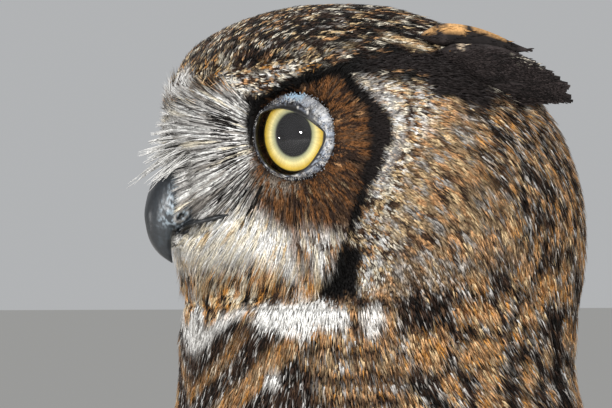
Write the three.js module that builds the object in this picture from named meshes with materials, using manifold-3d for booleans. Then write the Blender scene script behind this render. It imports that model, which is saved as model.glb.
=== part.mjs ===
// A great horned owl at life size, standing upright with folded wings, as a still museum model.
// Lengths are in millimetres. +Z is up, the bird faces -Y and its left side is at +X.
// Every solid is the outside of the plumage, out to the feather tips.

import * as THREE from "three";
import { mergeVertices } from "three/addons/utils/BufferGeometryUtils.js";
import Module from "manifold-3d";

const wasm = await Module();
wasm.setup();

// ---- Driving dimensions ----

const GAP = 0.3; // left between neighbouring pieces
const WELD = 1e-3; // vertices closer than this are one
const REACH = 600; // farther out than any part of the bird
const LEFT = 1;
const RIGHT = -1;

// Height, front, back and half width of the plumage, from the vent to the crown.
const OUTLINE = [
  [56, 52, 52, 0],
  [61, 26, 78, 26],
  [80, 2, 98, 48],
  [112, -20, 111, 65],
  [152, -38, 113, 76],
  [196, -51, 108, 82],
  [236, -58, 98, 84],
  [272, -60, 84, 80],
  [302, -60, 71, 73],
  [326, -57, 61, 65],
  [345, -54.5, 54, 58.5],
  [362, -54, 54, 57],
  [378, -54, 56, 59],
  [392, -58, 56.5, 60.5],
  [406, -60.5, 54, 60],
  [420, -60.5, 48, 57],
  [432, -59, 39, 51],
  [442, -51, 27, 41],
  [449, -39, 14, 28],
  [453, -25, 1, 14],
  [454, -12, -12, 0],
];
const FULLNESS = 2.3; // exponent of the sections: 2 is an ellipse, more is squarer

const NECK_TOP = 370;
const NECK_FOOT = 336;

// The eye looks out and forward. Its place is the middle of the iris.
const EYE = { side: 30, forward: -34.5, height: 417, yaw: 36, ball: 13, iris: 10.1 };

// The facial disc is a shallow oval dish round the eye, inside a raised rim with a soft edge.
const DISC = { yaw: 41.5, radius: 27, tall: 25, drop: 6, outward: 3 };
const DISH = { depth: 1.5, rim: 4.5, lip: 0.16, soft: 2 };
// The heights between which the flattening of the face comes in, and goes out again.
const FACE_FOOT = [364, 382];
const FACE_TOP = [432, 444];

// The folded wing stands out by edge, and by swell more between the heights of foot and top.
const WING = { front: -32, edge: 3.5, swell: 8.5, foot: [80, 190], top: [252, 328], midline: 3 };
const TAIL = { root: [0, 84, 152], tip: [0, 186, 9.5], halfWidth: 36, thickness: 8 };

const FEET = { side: 43, forward: 22 };
const TOE = { height: 5.8, radius: 7.4 };
// Name, direction outward from straight ahead in degrees, and length with its pad.
const TOES = [
  ["middle", 6, 50],
  ["inner", -26, 46],
  ["outer", 62, 42],
  ["hind", 188, 32],
];
const TALON = { length: 24, root: 3.6, rise: 4.5 };

// ---- Materials ----

const finish = (color, roughness) =>
  new THREE.MeshStandardMaterial({ color, roughness, metalness: 0 });

const MATERIALS = {
  headPlumage: finish("#7d6a52", 0.95),
  bodyPlumage: finish("#8a7355", 0.95),
  wingPlumage: finish("#6d5a44", 0.9),
  tuftPlumage: finish("#2c2829", 0.85),
  legPlumage: finish("#cdb491", 0.95),
  horn: finish("#333b42", 0.4),
  eye: finish("#e3c02f", 0.08),
};

// ---- Shaping and joining ----

// A closed form made from a sphere: place(turn, rise) puts the point at turn, an angle round
// the poles, and rise, from 0 at the lower pole to 1 at the upper one.
function moulded(around, along, place) {
  const geometry = new THREE.SphereGeometry(1, around, along);
  const { position } = geometry.attributes;
  const point = new THREE.Vector3();
  for (let i = 0; i < position.count; i++) {
    const row = Math.floor(i / (around + 1));
    const column = i % (around + 1);
    place(point, ((column % around) / around) * 2 * Math.PI, 1 - row / along);
    position.setXYZ(i, point.x, point.y, point.z);
  }
  return welded(geometry);
}

function welded(geometry) {
  geometry.deleteAttribute("normal");
  geometry.deleteAttribute("uv");
  return mergeVertices(geometry, WELD);
}

// The same form with its surface moved out by amount(point) along its normals.
function swollen(geometry, amount) {
  const copy = geometry.clone();
  copy.computeVertexNormals();
  const { position, normal } = copy.attributes;
  const point = new THREE.Vector3();
  const out = new THREE.Vector3();
  for (let i = 0; i < position.count; i++) {
    point.fromBufferAttribute(position, i);
    out.fromBufferAttribute(normal, i);
    point.addScaledVector(out, amount(point));
    position.setXYZ(i, point.x, point.y, point.z);
  }
  copy.deleteAttribute("normal");
  return copy;
}

const withGap = (geometry) => swollen(geometry, () => GAP);

function solid(geometry) {
  const merged = welded(geometry.clone());
  return new wasm.Manifold(
    new wasm.Mesh({
      numProp: 3,
      vertProperties: new Float32Array(merged.attributes.position.array),
      triVerts: new Uint32Array(merged.index.array),
    }),
  );
}

function geometryOf(manifold) {
  const mesh = manifold.getMesh();
  const geometry = new THREE.BufferGeometry();
  geometry.setAttribute("position", new THREE.BufferAttribute(mesh.vertProperties, 3));
  geometry.setIndex(new THREE.BufferAttribute(mesh.triVerts, 1));
  geometry.computeVertexNormals();
  return geometry;
}

// The largest of a cut's pieces, so that a stray sliver never rides along.
function largest(manifold) {
  return manifold.decompose().reduce((a, b) => (a.volume() > b.volume() ? a : b));
}

function box(low, high) {
  const size = new THREE.Vector3().subVectors(high, low);
  const middle = new THREE.Vector3().addVectors(low, high).multiplyScalar(0.5);
  return solid(new THREE.BoxGeometry(size.x, size.y, size.z).translate(...middle.toArray()));
}

// Everything between two heights.
const slab = (low, high) =>
  box(new THREE.Vector3(-REACH, -REACH, low), new THREE.Vector3(REACH, REACH, high));

// A limb, bill or feather mass: round ended, along a curve, with its width across the side
// vector and its thickness across both that and the curve.
function limb(points, side, width, thickness, around, along) {
  const curve = new THREE.CatmullRomCurve3(points.map((p) => new THREE.Vector3(...p)));
  const wide = new THREE.Vector3(...side).normalize();
  const deep = new THREE.Vector3();
  return moulded(around, along, (point, turn, rise) => {
    const s = (1 - Math.cos(Math.PI * rise)) / 2;
    const round = Math.sqrt(Math.sin(Math.PI * rise));
    deep.crossVectors(curve.getTangent(s), wide).normalize();
    curve.getPoint(s, point);
    point.addScaledVector(wide, round * width(s) * Math.cos(turn));
    point.addScaledVector(deep, round * thickness(s) * Math.sin(turn));
  });
}

const mix = (a, b, s) => a + (b - a) * s;
const smooth = (low, high, v) => THREE.MathUtils.smoothstep(v, low, high);

// ---- Head, neck and trunk ----

// The outline's row at rise, by a Catmull-Rom curve through the rows either side.
function outlineAt(rise) {
  const place = rise * (OUTLINE.length - 1);
  const i = Math.min(Math.floor(place), OUTLINE.length - 2);
  const s = place - i;
  const rows = [i - 1, i, i + 1, i + 2].map(
    (k) => OUTLINE[Math.min(Math.max(k, 0), OUTLINE.length - 1)],
  );
  return OUTLINE[0].map((_, k) => {
    const [a, b, c, d] = rows.map((row) => row[k]);
    return b + 0.5 * s * (c - a + s * (2 * a - 5 * b + 4 * c - d + s * (3 * (b - c) + d - a)));
  });
}

const rounded = (v) => Math.sign(v) * Math.abs(v) ** (2 / FULLNESS);

// Unit vector of a direction turned by yaw degrees from straight ahead to one side.
function heading(side, yaw) {
  const angle = THREE.MathUtils.degToRad(yaw);
  return new THREE.Vector3(side * Math.sin(angle), -Math.cos(angle), 0);
}

const eyeMiddle = (side) => new THREE.Vector3(side * EYE.side, EYE.forward, EYE.height);

// Flattens the front of the head to a wedge, then presses a dish into each half of it.
function shapeFace(point) {
  const side = point.x < 0 ? RIGHT : LEFT;
  const out = heading(side, DISC.yaw);
  const across = new THREE.Vector3(-out.y * side, out.x * side, 0);
  const from = point.clone().sub(eyeMiddle(side));
  const u = (from.dot(across) - DISC.outward) / DISC.radius;
  const w = (from.z + DISC.drop) / DISC.tall;
  const inDish = 1 - smooth(1 - DISH.lip, 1 + DISH.lip, Math.hypot(u, w));
  const face = smooth(...FACE_FOOT, point.z) * (1 - smooth(...FACE_TOP, point.z));
  const proud = from.dot(out) - mix(DISH.rim, DISH.depth, inDish);
  const excess = (proud + Math.hypot(proud, DISH.soft)) / 2;
  point.addScaledVector(out, -excess * face);
}

// rows(along) spreads the rings over the height, so that a mesh can be finest at the head.
function plumage(around, along, rows) {
  return moulded(around, along, (point, turn, rise) => {
    const [height, front, back, halfWidth] = outlineAt(rows(rise));
    const angle = turn - 0.3 * Math.sin(turn); // finer towards the face
    point.set(
      halfWidth * rounded(Math.sin(angle)),
      (front + back) / 2 - ((back - front) / 2) * rounded(Math.cos(angle)),
      height,
    );
    shapeFace(point);
  });
}

// The head's rings all lie in the top share of the outline, bar the one that closes it below.
const HEAD_SHARE = 0.54;
const headRows = (rise) => (rise ? 1 - HEAD_SHARE * (1 - rise) : 0);

const bodyForm = plumage(24, 29, (rise) => rise);
const headForm = plumage(32, 24, headRows);

const whole = solid(bodyForm);
const wholeWithGap = solid(withGap(bodyForm));

// ---- Face ----

function eyeForm(side) {
  const behind = Math.sqrt(EYE.ball ** 2 - EYE.iris ** 2);
  const middle = eyeMiddle(side).addScaledVector(heading(side, EYE.yaw), -behind);
  return welded(new THREE.SphereGeometry(EYE.ball, 12, 8).translate(...middle.toArray()));
}

const UPRIGHT_SIDE = [1, 0, 0];

// Both halves of the bill run from under the bristles; the upper one hooks over the lower.
const billUpperForm = limb(
  [
    [0, -42, 404],
    [0, -52, 405.5],
    [0, -60, 401.5],
    [0, -63.9, 394],
    [0, -63.2, 388],
    [0, -60.8, 382],
  ],
  UPRIGHT_SIDE,
  (s) => mix(9.5, 1.2, s ** 1.3),
  (s) => mix(8.5, 0.9, s ** 1.9),
  10,
  12,
);
const billLowerForm = limb(
  [
    [0, -42, 394],
    [0, -52, 392.5],
    [0, -59, 390],
  ],
  UPRIGHT_SIDE,
  (s) => mix(8, 4, s),
  (s) => mix(4, 2.6, s),
  10,
  6,
);

// The bristles that sweep forward over the root of the bill.
const bristleForm = (side) =>
  limb(
    [
      [side * 17, -40, 411],
      [side * 11, -55, 409],
      [side * 7, -69, 404],
    ],
    [0, 0, 1],
    (s) => mix(14, 5, s),
    (s) => mix(8, 3.5, s),
    10,
    7,
  );

const earTuftForm = (side) =>
  limb(
    [
      [side * 33, -9, 438],
      [side * 38.5, 8, 439],
      [side * 41.5, 24, 434],
      [side * 41.5, 37, 430],
      [side * 40, 46, 426.5],
    ],
    [0, 0.25, 1],
    (s) => mix(7, 10.5, smooth(0, 0.45, s)) * mix(1, 0.5, smooth(0.5, 1, s)),
    (s) => mix(3, 3.4, s) * mix(1, 0.4, smooth(0.6, 1, s)),
    10,
    9,
  );

function buildHead() {
  const beard = solid(bristleForm(LEFT)).add(solid(bristleForm(RIGHT)));
  const sides = [LEFT, RIGHT];
  const openings = [billUpperForm, billLowerForm, ...sides.map(eyeForm), ...sides.map(earTuftForm)];
  return openings.reduce(
    (head, opening) => head.subtract(solid(withGap(opening))),
    solid(headForm).intersect(slab(NECK_TOP + GAP, REACH)).add(beard),
  );
}

// ---- Wings ----

// How far the folded wing stands out of the body at a point on its side.
function wingSwell(point) {
  const low = smooth(...WING.foot, point.z);
  const high = 1 - smooth(...WING.top, point.z);
  return WING.edge + WING.swell * Math.min(low, high);
}

// The folded wing in side view: front edge from the wrist down, then back up over the rump.
const wingOutline = new THREE.Shape();
wingOutline.moveTo(WING.front, 292);
wingOutline.quadraticCurveTo(-30, 325, 10, 327);
wingOutline.quadraticCurveTo(60, 328, 100, 300);
wingOutline.lineTo(150, 280);
wingOutline.lineTo(150, 92);
wingOutline.lineTo(104, 92);
wingOutline.quadraticCurveTo(80, 118, 46, 150);
wingOutline.quadraticCurveTo(-24, 215, WING.front, 292);

function wingPlan(side) {
  const depth = 130;
  const shape = new THREE.ExtrudeGeometry(wingOutline, { depth, bevelEnabled: false, curveSegments: 8 });
  // The outline's x is the bird's y and its y is the bird's z.
  shape.applyMatrix4(new THREE.Matrix4().set(0, 0, 1, 0, 1, 0, 0, 0, 0, 1, 0, 0, 0, 0, 0, 1));
  shape.translate(WING.midline, 0, 0);
  return side === LEFT ? solid(shape) : solid(shape).mirror([1, 0, 0]);
}

const tailForm = limb(
  [TAIL.root, [0, 118, 104], [0, 152, 56], TAIL.tip],
  UPRIGHT_SIDE,
  (s) => TAIL.halfWidth * mix(0.62, 1, smooth(0, 0.6, s)),
  (s) => TAIL.thickness * mix(1.5, 0.5, s),
  14,
  8,
);

// The closed primaries, which reach past the body over the tail.
const primariesForm = (side) =>
  limb(
    [
      [side * 50, 78, 205],
      [side * 45, 108, 150],
      [side * 35, 137, 100],
      [side * 23, 163, 52],
    ],
    [side * 0.85, -0.45, -0.3],
    (s) => mix(36, 13, s),
    (s) => mix(14, 3.5, s),
    10,
    9,
  );

function buildWing(side) {
  const shell = solid(swollen(bodyForm, wingSwell)).intersect(wingPlan(side));
  return shell
    .add(solid(primariesForm(side)))
    .intersect(halfSpace(side))
    .subtract(wholeWithGap)
    .subtract(solid(withGap(tailForm)));
}

// Everything on one side of the bird, clear of its midline.
function halfSpace(side) {
  const near = 1;
  const half = box(new THREE.Vector3(near, -REACH, -REACH), new THREE.Vector3(REACH, REACH, REACH));
  return side === LEFT ? half : half.mirror([1, 0, 0]);
}

// ---- Legs, feet and talons ----

const footMiddle = (side) => new THREE.Vector3(side * FEET.side, FEET.forward, 0);

const thighForm = (side) =>
  limb(
    [
      [side * 26, 36, 168],
      [side * 36, 16, 122],
      [side * 41, 21, 82],
      [side * 42, 29, 42],
    ],
    UPRIGHT_SIDE,
    (s) => mix(24, 19, s) + 12 * Math.sin(Math.PI * s),
    (s) => mix(30, 19, s) + 15 * Math.sin(Math.PI * s),
    12,
    10,
  );

const shankForm = (side) =>
  limb(
    [
      [side * 42, 31, 72],
      [side * 42, 30, 52],
      [side * 42.5, 27, 31],
      [side * FEET.side, FEET.forward + 1, 9],
    ],
    UPRIGHT_SIDE,
    (s) => mix(18, 15, s),
    (s) => mix(18.5, 15.5, s),
    12,
    8,
  );

// A toe runs out along the floor, a little arched, to the root of its talon.
function toeForm(side, yaw, length) {
  const out = heading(side, yaw);
  const at = (reach, height) => footMiddle(side).addScaledVector(out, reach).setZ(height).toArray();
  return limb(
    [at(6, TOE.height + 1.6), at(length * 0.5, TOE.height + 0.6), at(length, TOE.height)],
    [-out.y, out.x, 0],
    (s) => TOE.radius * mix(1, 0.86, s),
    (s) => TOE.radius * mix(1.15, 0.95, s),
    8,
    6,
  );
}

// A talon leaves the toe's end, arches over and comes down just clear of the floor.
function talonForm(side, yaw, length) {
  const out = heading(side, yaw);
  const at = (reach, height) =>
    footMiddle(side).addScaledVector(out, length - 4 + reach * TALON.length).setZ(height).toArray();
  return limb(
    [at(0, TOE.height + 1), at(0.4, TOE.height + TALON.rise), at(0.78, TOE.height + 1), at(1, 1.5)],
    [-out.y, out.x, 0],
    (s) => mix(TALON.root, 0.5, s ** 1.2),
    (s) => mix(TALON.root * 1.15, 0.5, s ** 1.2),
    8,
    6,
  );
}

const aboveFloor = slab(0, REACH);

// The toes of one foot, each cut clear of the shank and of the toes before it.
function buildToes(side) {
  const taken = [shankForm(side)];
  return TOES.map(([name, yaw, length]) => {
    const form = toeForm(side, yaw, length);
    const claw = talonForm(side, yaw, length);
    const toe = [...taken, claw].reduce(
      (rest, other) => rest.subtract(solid(withGap(other))),
      solid(form).intersect(aboveFloor),
    );
    taken.push(form);
    return { name, toe, talon: solid(claw) };
  });
}

// ---- The bird ----

const bird = new THREE.Group();

function add(name, manifold, material) {
  const mesh = new THREE.Mesh(geometryOf(largest(manifold)), material);
  mesh.name = name;
  bird.add(mesh);
}

add("head", buildHead(), MATERIALS.headPlumage);
add("neck", whole.intersect(slab(NECK_FOOT + GAP, NECK_TOP)), MATERIALS.bodyPlumage);
const tailRoom = solid(withGap(tailForm));
add("trunk", whole.intersect(slab(0, NECK_FOOT)).subtract(tailRoom), MATERIALS.bodyPlumage);
add("tail", solid(tailForm), MATERIALS.wingPlumage);
add("bill_upper", solid(billUpperForm), MATERIALS.horn);
add("bill_lower", solid(billLowerForm).subtract(solid(withGap(billUpperForm))), MATERIALS.horn);

for (const side of [LEFT, RIGHT]) {
  const hand = side === LEFT ? "left" : "right";
  add(`eye_${hand}`, solid(eyeForm(side)), MATERIALS.eye);
  add(`ear_tuft_${hand}`, solid(earTuftForm(side)), MATERIALS.tuftPlumage);
  add(`wing_${hand}`, buildWing(side), MATERIALS.wingPlumage);
  add(`thigh_${hand}`, solid(thighForm(side)).subtract(wholeWithGap), MATERIALS.legPlumage);
  const shank = solid(shankForm(side)).subtract(solid(withGap(thighForm(side))));
  add(`shank_${hand}`, shank, MATERIALS.legPlumage);
  for (const { name, toe, talon } of buildToes(side)) {
    add(`toe_${name}_${hand}`, toe, MATERIALS.legPlumage);
    add(`talon_${name}_${hand}`, talon, MATERIALS.horn);
  }
}

// The origin is under the middle of the bird, at the height of its soles.
const extent = new THREE.Box3().setFromObject(bird);
bird.position.y = -(extent.min.y + extent.max.y) / 2;

export default bird;
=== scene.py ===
# %% [markdown]
# # A great horned owl at life size
# This script dresses a plain solid owl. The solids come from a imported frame, which holds the
# true outline out to the feather tips. Here they get one skin, a coat of solid feathers, eyes
# with lids, a horn bill and horn talons. Every length below is in millimetres until it is
# handed to Blender, which works in metres.

# %% Load the frame
import math

import bmesh
import bpy
import numpy as np
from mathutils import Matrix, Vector
from mathutils.bvhtree import BVHTree


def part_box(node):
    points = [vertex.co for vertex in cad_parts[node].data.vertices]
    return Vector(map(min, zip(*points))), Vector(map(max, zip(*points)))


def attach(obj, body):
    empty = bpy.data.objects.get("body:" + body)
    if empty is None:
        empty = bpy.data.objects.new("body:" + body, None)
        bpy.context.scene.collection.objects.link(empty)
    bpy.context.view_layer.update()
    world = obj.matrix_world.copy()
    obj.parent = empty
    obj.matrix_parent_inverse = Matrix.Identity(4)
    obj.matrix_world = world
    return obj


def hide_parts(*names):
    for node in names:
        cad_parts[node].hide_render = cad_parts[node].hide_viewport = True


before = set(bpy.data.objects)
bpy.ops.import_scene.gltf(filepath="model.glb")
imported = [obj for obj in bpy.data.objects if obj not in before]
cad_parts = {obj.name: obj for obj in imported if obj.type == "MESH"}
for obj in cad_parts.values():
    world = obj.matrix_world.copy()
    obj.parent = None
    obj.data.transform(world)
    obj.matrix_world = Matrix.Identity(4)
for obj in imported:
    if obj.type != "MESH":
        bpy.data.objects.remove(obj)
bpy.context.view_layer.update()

MM = 0.001
print("nodes in the frame:", len(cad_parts))

# %% [markdown]
# ## Small tools
# A feather coat is hundreds of thousands of points, so the points are kept as NumPy arrays and
# worked on all at once. These helpers are the few sums that are used everywhere.

# %% Vectors and blends
rng = np.random.default_rng(417)
UP = np.array((0.0, 0.0, 1.0))


def unit(vectors):
    return vectors / np.maximum(np.linalg.norm(vectors, axis=-1, keepdims=True), 1e-9)


def mix(a, b, share):
    return a + (b - a) * share


def ramp(low, high, value):
    """0 below low, 1 above high, and a smooth rise between them. low may be the larger."""
    share = np.clip((value - low) / (high - low), 0, 1)
    return share * share * (3 - 2 * share)


def heading(side, yaw):
    """A level direction turned by yaw degrees from straight ahead, which is -Y, to one side."""
    angle = math.radians(yaw)
    return np.array((side * math.sin(angle), -math.cos(angle), 0.0))


# %% [markdown]
# ## Patterns in space
# Feather markings are irregular. Two patterns make them here, both from seeded sums: soft noise,
# which drifts smoothly, and cells, where each small patch has one value of its own. Cells give
# flecks with clear edges, as each barb of a real feather is one colour or another.

# %% Noise and cells


def lattice(cells, seed):
    """One repeatable number from 0 to 1 for each whole-number cell."""
    x, y, z = (cells[..., k].astype(np.int64) for k in range(3))
    mixed = (x * 73856093) ^ (y * 19349663) ^ (z * 83492791) ^ (seed * 2654435761)
    mixed = (mixed ^ (mixed >> 13)) * 1274126177
    return ((mixed ^ (mixed >> 16)) & 0xFFFFFF) / 0xFFFFFF


def soft_noise(points, size, seed):
    """Smooth noise from 0 to 1 whose bumps are about size millimetres across."""
    scaled = points / size
    base = np.floor(scaled)
    inside = scaled - base
    inside = inside * inside * (3 - 2 * inside)
    total = np.zeros(len(points))
    for corner in np.ndindex(2, 2, 2):
        weight = np.prod(np.where(corner, inside, 1 - inside), axis=1)
        total += weight * lattice(base + corner, seed)
    return total


def nearest_cell(points, size, seed):
    """The patch, about size millimetres across, that each point is in: a number from 0 to 1 of
    its own, and the way to the point from the patch's middle."""
    scaled = points / size
    base = np.floor(scaled)
    nearest = np.full(len(points), np.inf)
    value = np.zeros(len(points))
    offset = np.zeros(points.shape)
    for step in np.ndindex(3, 3, 3):
        cell = base + np.array(step) - 1
        away = scaled - cell - np.stack([lattice(cell, seed + k) for k in (1, 2, 3)], axis=1)
        distance = np.sum(away**2, axis=1)
        closer = distance < nearest
        nearest[closer] = distance[closer]
        value[closer] = lattice(cell, seed)[closer]
        offset[closer] = away[closer]
    return value, offset * size


def cell_values(points, size, seed):
    return nearest_cell(points, size, seed)[0]


print("noise, mean and spread:", soft_noise(rng.random((999, 3)) * 90, 5, 1).mean().round(2))

# %% [markdown]
# ## Places on the owl
# The eye is the landmark of the head. The frame holds each eye as a ball, and the iris is the
# flat disc where the ball meets the front of the eye, so both are worked out from its box.

# %% Landmarks from the frame
IRIS_RADIUS = 10.1
EYE_YAW = 36  # degrees from straight ahead
HANDS = {"left": 1, "right": -1}


def node_box(node):
    return np.array([list(corner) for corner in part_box(node)]) / MM


ball_box = node_box("eye_left")
BALL_RADIUS = (ball_box[1] - ball_box[0]).max() / 2
BALL_MIDDLE = ball_box.mean(axis=0)
IRIS_DEPTH = math.sqrt(BALL_RADIUS**2 - IRIS_RADIUS**2)
IRIS_MIDDLE = BALL_MIDDLE + heading(1, EYE_YAW) * IRIS_DEPTH
NECK_FOOT = node_box("neck")[0, 2]
print("iris middle:", IRIS_MIDDLE.round(1), "ball radius:", round(BALL_RADIUS, 1))

# %% [markdown]
# The markings of the head are laid out in two measures taken from the iris: how far back a place
# is along the cheek, and how far up. The cheek of an owl slants, so "back" runs along a line
# turned a little towards the front. Both sides of the head share the same layout.

# %% Back and up from the iris
CHEEK_YAW = 72
BACK = np.array((math.cos(math.radians(CHEEK_YAW)), math.sin(math.radians(CHEEK_YAW)), 0))


def back_and_up(points):
    side_on = np.column_stack((np.abs(points[:, 0]), points[:, 1], points[:, 2])) - IRIS_MIDDLE
    return side_on @ BACK, side_on[:, 2]


def back_direction(points):
    """The direction of back at each point, mirrored on the right side."""
    side = np.where(points[:, 0] < 0, -1.0, 1.0)
    return np.column_stack((side * BACK[0], np.full(len(points), BACK[1]), np.zeros(len(points))))


# The facial disc is an oval round the eye, the bristles and the cheek. Its edge doesn't keep to
# the oval: it stands out behind the eye, cuts in over the lids and opens to the front. A black
# rim runs along it. Each row is an angle, where the edge is, and half the breadth of the rim.
DISC_MIDDLE = (-6.0, -10.0)
DISC_REACH = (30.0, 28.0)
RIM = [
    (-180, 1.4, 0.0), (-140, 1.4, 0.0), (-127, 1.28, 0.0), (-110, 1.0, 0.0), (-87, 1.0, 0.0),
    (-70, 1.15, 0.0), (-58, 1.1, 0.02), (-45, 0.97, 0.045), (-35, 0.91, 0.05), (-14, 0.865, 0.055),
    (3, 0.93, 0.08), (12, 1.01, 0.13), (18, 1.065, 0.14), (26, 1.1, 0.13), (33, 1.135, 0.09),
    (42, 1.12, 0.08), (50, 1.125, 0.075), (58, 1.18, 0.08), (69, 0.99, 0.1), (81, 0.85, 0.075),
    (91, 0.745, 0.065), (104, 0.69, 0.06), (110, 0.74, 0.03), (117, 0.93, 0.0), (127, 1.0, 0.0),
    (141, 1.06, 0.0), (160, 1.4, 0.0), (180, 1.4, 0.0),
]


def disc_polar(back, up):
    """Distance from the middle of the facial disc, in oval radii, and angle, 0 back, 90 up."""
    across = (back - DISC_MIDDLE[0]) / DISC_REACH[0]
    over = (up - DISC_MIDDLE[1]) / DISC_REACH[1]
    return np.hypot(across, over), np.degrees(np.arctan2(over, across))


def rim_at(angle):
    """Where the disc's edge is at an angle, and half the rim's breadth, in oval radii."""
    angles, places, halves = zip(*RIM)
    return np.interp(angle, angles, places), np.interp(angle, angles, halves)


# %% [markdown]
# ## Colour
# Colours are written as sRGB hex, as a paint chart gives them, and turned to the linear values
# that Blender's shaders and colour attributes hold. The names are those of a feather guide.

# %% The plumage palette


def linear(hex_colour):
    srgb = np.array([int(hex_colour[k : k + 2], 16) / 255 for k in (1, 3, 5)])
    return np.where(srgb <= 0.04045, srgb / 12.92, ((srgb + 0.055) / 1.055) ** 2.4)


SOOT = linear("#120f0d")
UMBER = linear("#372820")
SEPIA = linear("#5f4734")
RUFOUS = linear("#7d5432")
PEACH = linear("#c8996b")
TAN = linear("#9a8264")
ORANGE_BUFF = linear("#d2954d")
BUFF = linear("#dcbf93")
CREAM = linear("#efe5d0")
WHITE = linear("#f7f5f1")
ASH = linear("#a7a19a")
PALE_GREY = linear("#cfccc8")
SLATE = linear("#2b2a2e")
CHARCOAL = linear("#2a2423")


def flecked(values, colours, shares):
    """Gives each value from 0 to 1 one of the colours, each for its share of the range."""
    edges = np.cumsum(shares) / np.sum(shares)
    return np.array(colours)[np.searchsorted(edges[:-1], values)]


def painted(under, over, amount):
    return under * (1 - amount[:, None]) + over * amount[:, None]


print("orange-buff, linear:", ORANGE_BUFF.round(3))

# %% [markdown]
# ## Markings
# One function says what colour the plumage is at any place, and both the skin and every feather
# ask it, so the two can't disagree. It works like painting: a ground colour for each region, and
# then darker or lighter marks over it. The edges of regions are pushed about by noise, because
# feathers end raggedly.

# %% Patterns drawn out along the feathers
RAYS_FROM = (-3.0, -1.0)  # back and up from the iris
RAYS_TRUE_AT = 20  # how far from the eye, in millimetres, the rays' patterns are true to size
GAPE = [  # back and up from the iris
    (-34.0, -26.7), (-30.6, -26.5), (-27.2, -25.2), (-23.8, -24.0), (-20.4, -23.2), (-17.8, -22.6),
]


def gape_line(back):
    """How far up from the iris the gape is, that far back."""
    return np.interp(back, *zip(*GAPE))


def drawn_out(points, width, length, slope):
    """Places along, across and over feathers that lie slope degrees below straight back.

    Lengths are shrunk to widths, so that a round patch of these places is one feather long.
    """
    back, up = back_and_up(points)
    turn = math.radians(slope)
    along = back * math.cos(turn) - up * math.sin(turn)
    across = back * math.sin(turn) + up * math.cos(turn)
    return np.column_stack((along * width / length, across, points @ heading(1, CHEEK_YAW)))


def streaks(points, width, length, slope, seed):
    """Cells drawn out along the feathers."""
    return cell_values(drawn_out(points, width, length, slope), width, seed)


def along_rays(points, width, length):
    """Places along and across the rays that leave the eye."""
    back, up = back_and_up(points)
    away, over = back - RAYS_FROM[0], up - RAYS_FROM[1]
    turn = np.arctan2(over, away) * RAYS_TRUE_AT
    apart = np.sign(points[:, 0]) * 50  # so that the two sides of the head differ
    return np.column_stack((np.hypot(away, over) * width / length, turn, apart))


def rays(points, width, length, seed):
    """Cells drawn out along the rays that leave the eye."""
    return cell_values(along_rays(points, width, length), width, seed)


def plumes(points, width, length, slope, seed):
    """Whole feathers: orange-buff at the base, then grey wormed with black, then a dark edge."""
    value, offset = nearest_cell(drawn_out(points, width, length, slope), width, seed)
    fine = streaks(points, 0.75, 1.5, slope, seed + 5)
    base = flecked(fine, [ORANGE_BUFF, PEACH, RUFOUS, BUFF, TAN, SEPIA], [17, 36, 6, 18, 12, 11])
    wormed = [PALE_GREY, UMBER, SOOT, BUFF, ASH, TAN, PEACH]
    wormed = flecked(fine, wormed, [14, 22, 13, 11, 14, 14, 12])
    edge = flecked(fine, [SOOT, UMBER, SEPIA, ASH], [50, 32, 10, 8])
    # A feather is painted outwards from a place near its base, and no two show as much of it.
    reach = np.linalg.norm(offset + (0.22 * width, 0, 0), axis=1) / width
    reach = reach + 0.14 * (fine - 0.5) + 0.5 * (value - 0.5)
    colour = painted(base, wormed, ramp(0.34, 0.4, reach))
    return painted(colour, edge, ramp(0.58, 0.66, reach))


# %% The head's markings


def crown_marks(points, back, up):
    """Soot and umber with cream flecks; paler and rustier towards the brow."""
    fine = streaks(points, 0.8, 1.8, -40, 21)
    fine = np.where(back > 2 + 8 * soft_noise(points, 4, 22), streaks(points, 1.05, 3.4, -2, 20), fine)
    wide = soft_noise(points, 5, 23)
    colour = flecked(fine, [SOOT, UMBER, SEPIA, BUFF, CREAM, ASH, PEACH], [50, 26, 7, 4, 6, 3, 4])
    light = flecked(fine, [CREAM, UMBER, BUFF, ASH, SOOT, ORANGE_BUFF], [11, 31, 12, 7, 33, 6])
    near_brow = ramp(28, 19, up - 0.1 * back) * ramp(26, 4, back)
    colour = painted(colour, light, near_brow * ramp(0.35, 0.6, wide))
    tufted = flecked(fine, [WHITE, CREAM, PALE_GREY, UMBER, PEACH], [16, 18, 18, 39, 9])
    brow = ramp(3.4, 2.0, np.abs(up - 14.8 - 0.2 * (back + 10))) * ramp(4, -2, back) * ramp(-24, -20, back)
    colour = painted(colour, tufted, brow * ramp(0.25, 0.45, wide))
    front = ramp(-28, -30, back) * ramp(20, 17.5, up) * ramp(10, 12, up)
    colour = painted(colour, flecked(fine, [WHITE, PALE_GREY, ASH, UMBER], [36, 28, 18, 18]), front)
    # A row of buff and cream tips leads to the ear tuft.
    row = ramp(1.5, 0.9, np.abs(up - 25.9 + 0.27 * (back - 31))) * ramp(24, 27, back)
    return painted(colour, flecked(fine, [BUFF, CREAM, PEACH, UMBER], [30, 24, 20, 26]), 0.9 * row)


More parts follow.
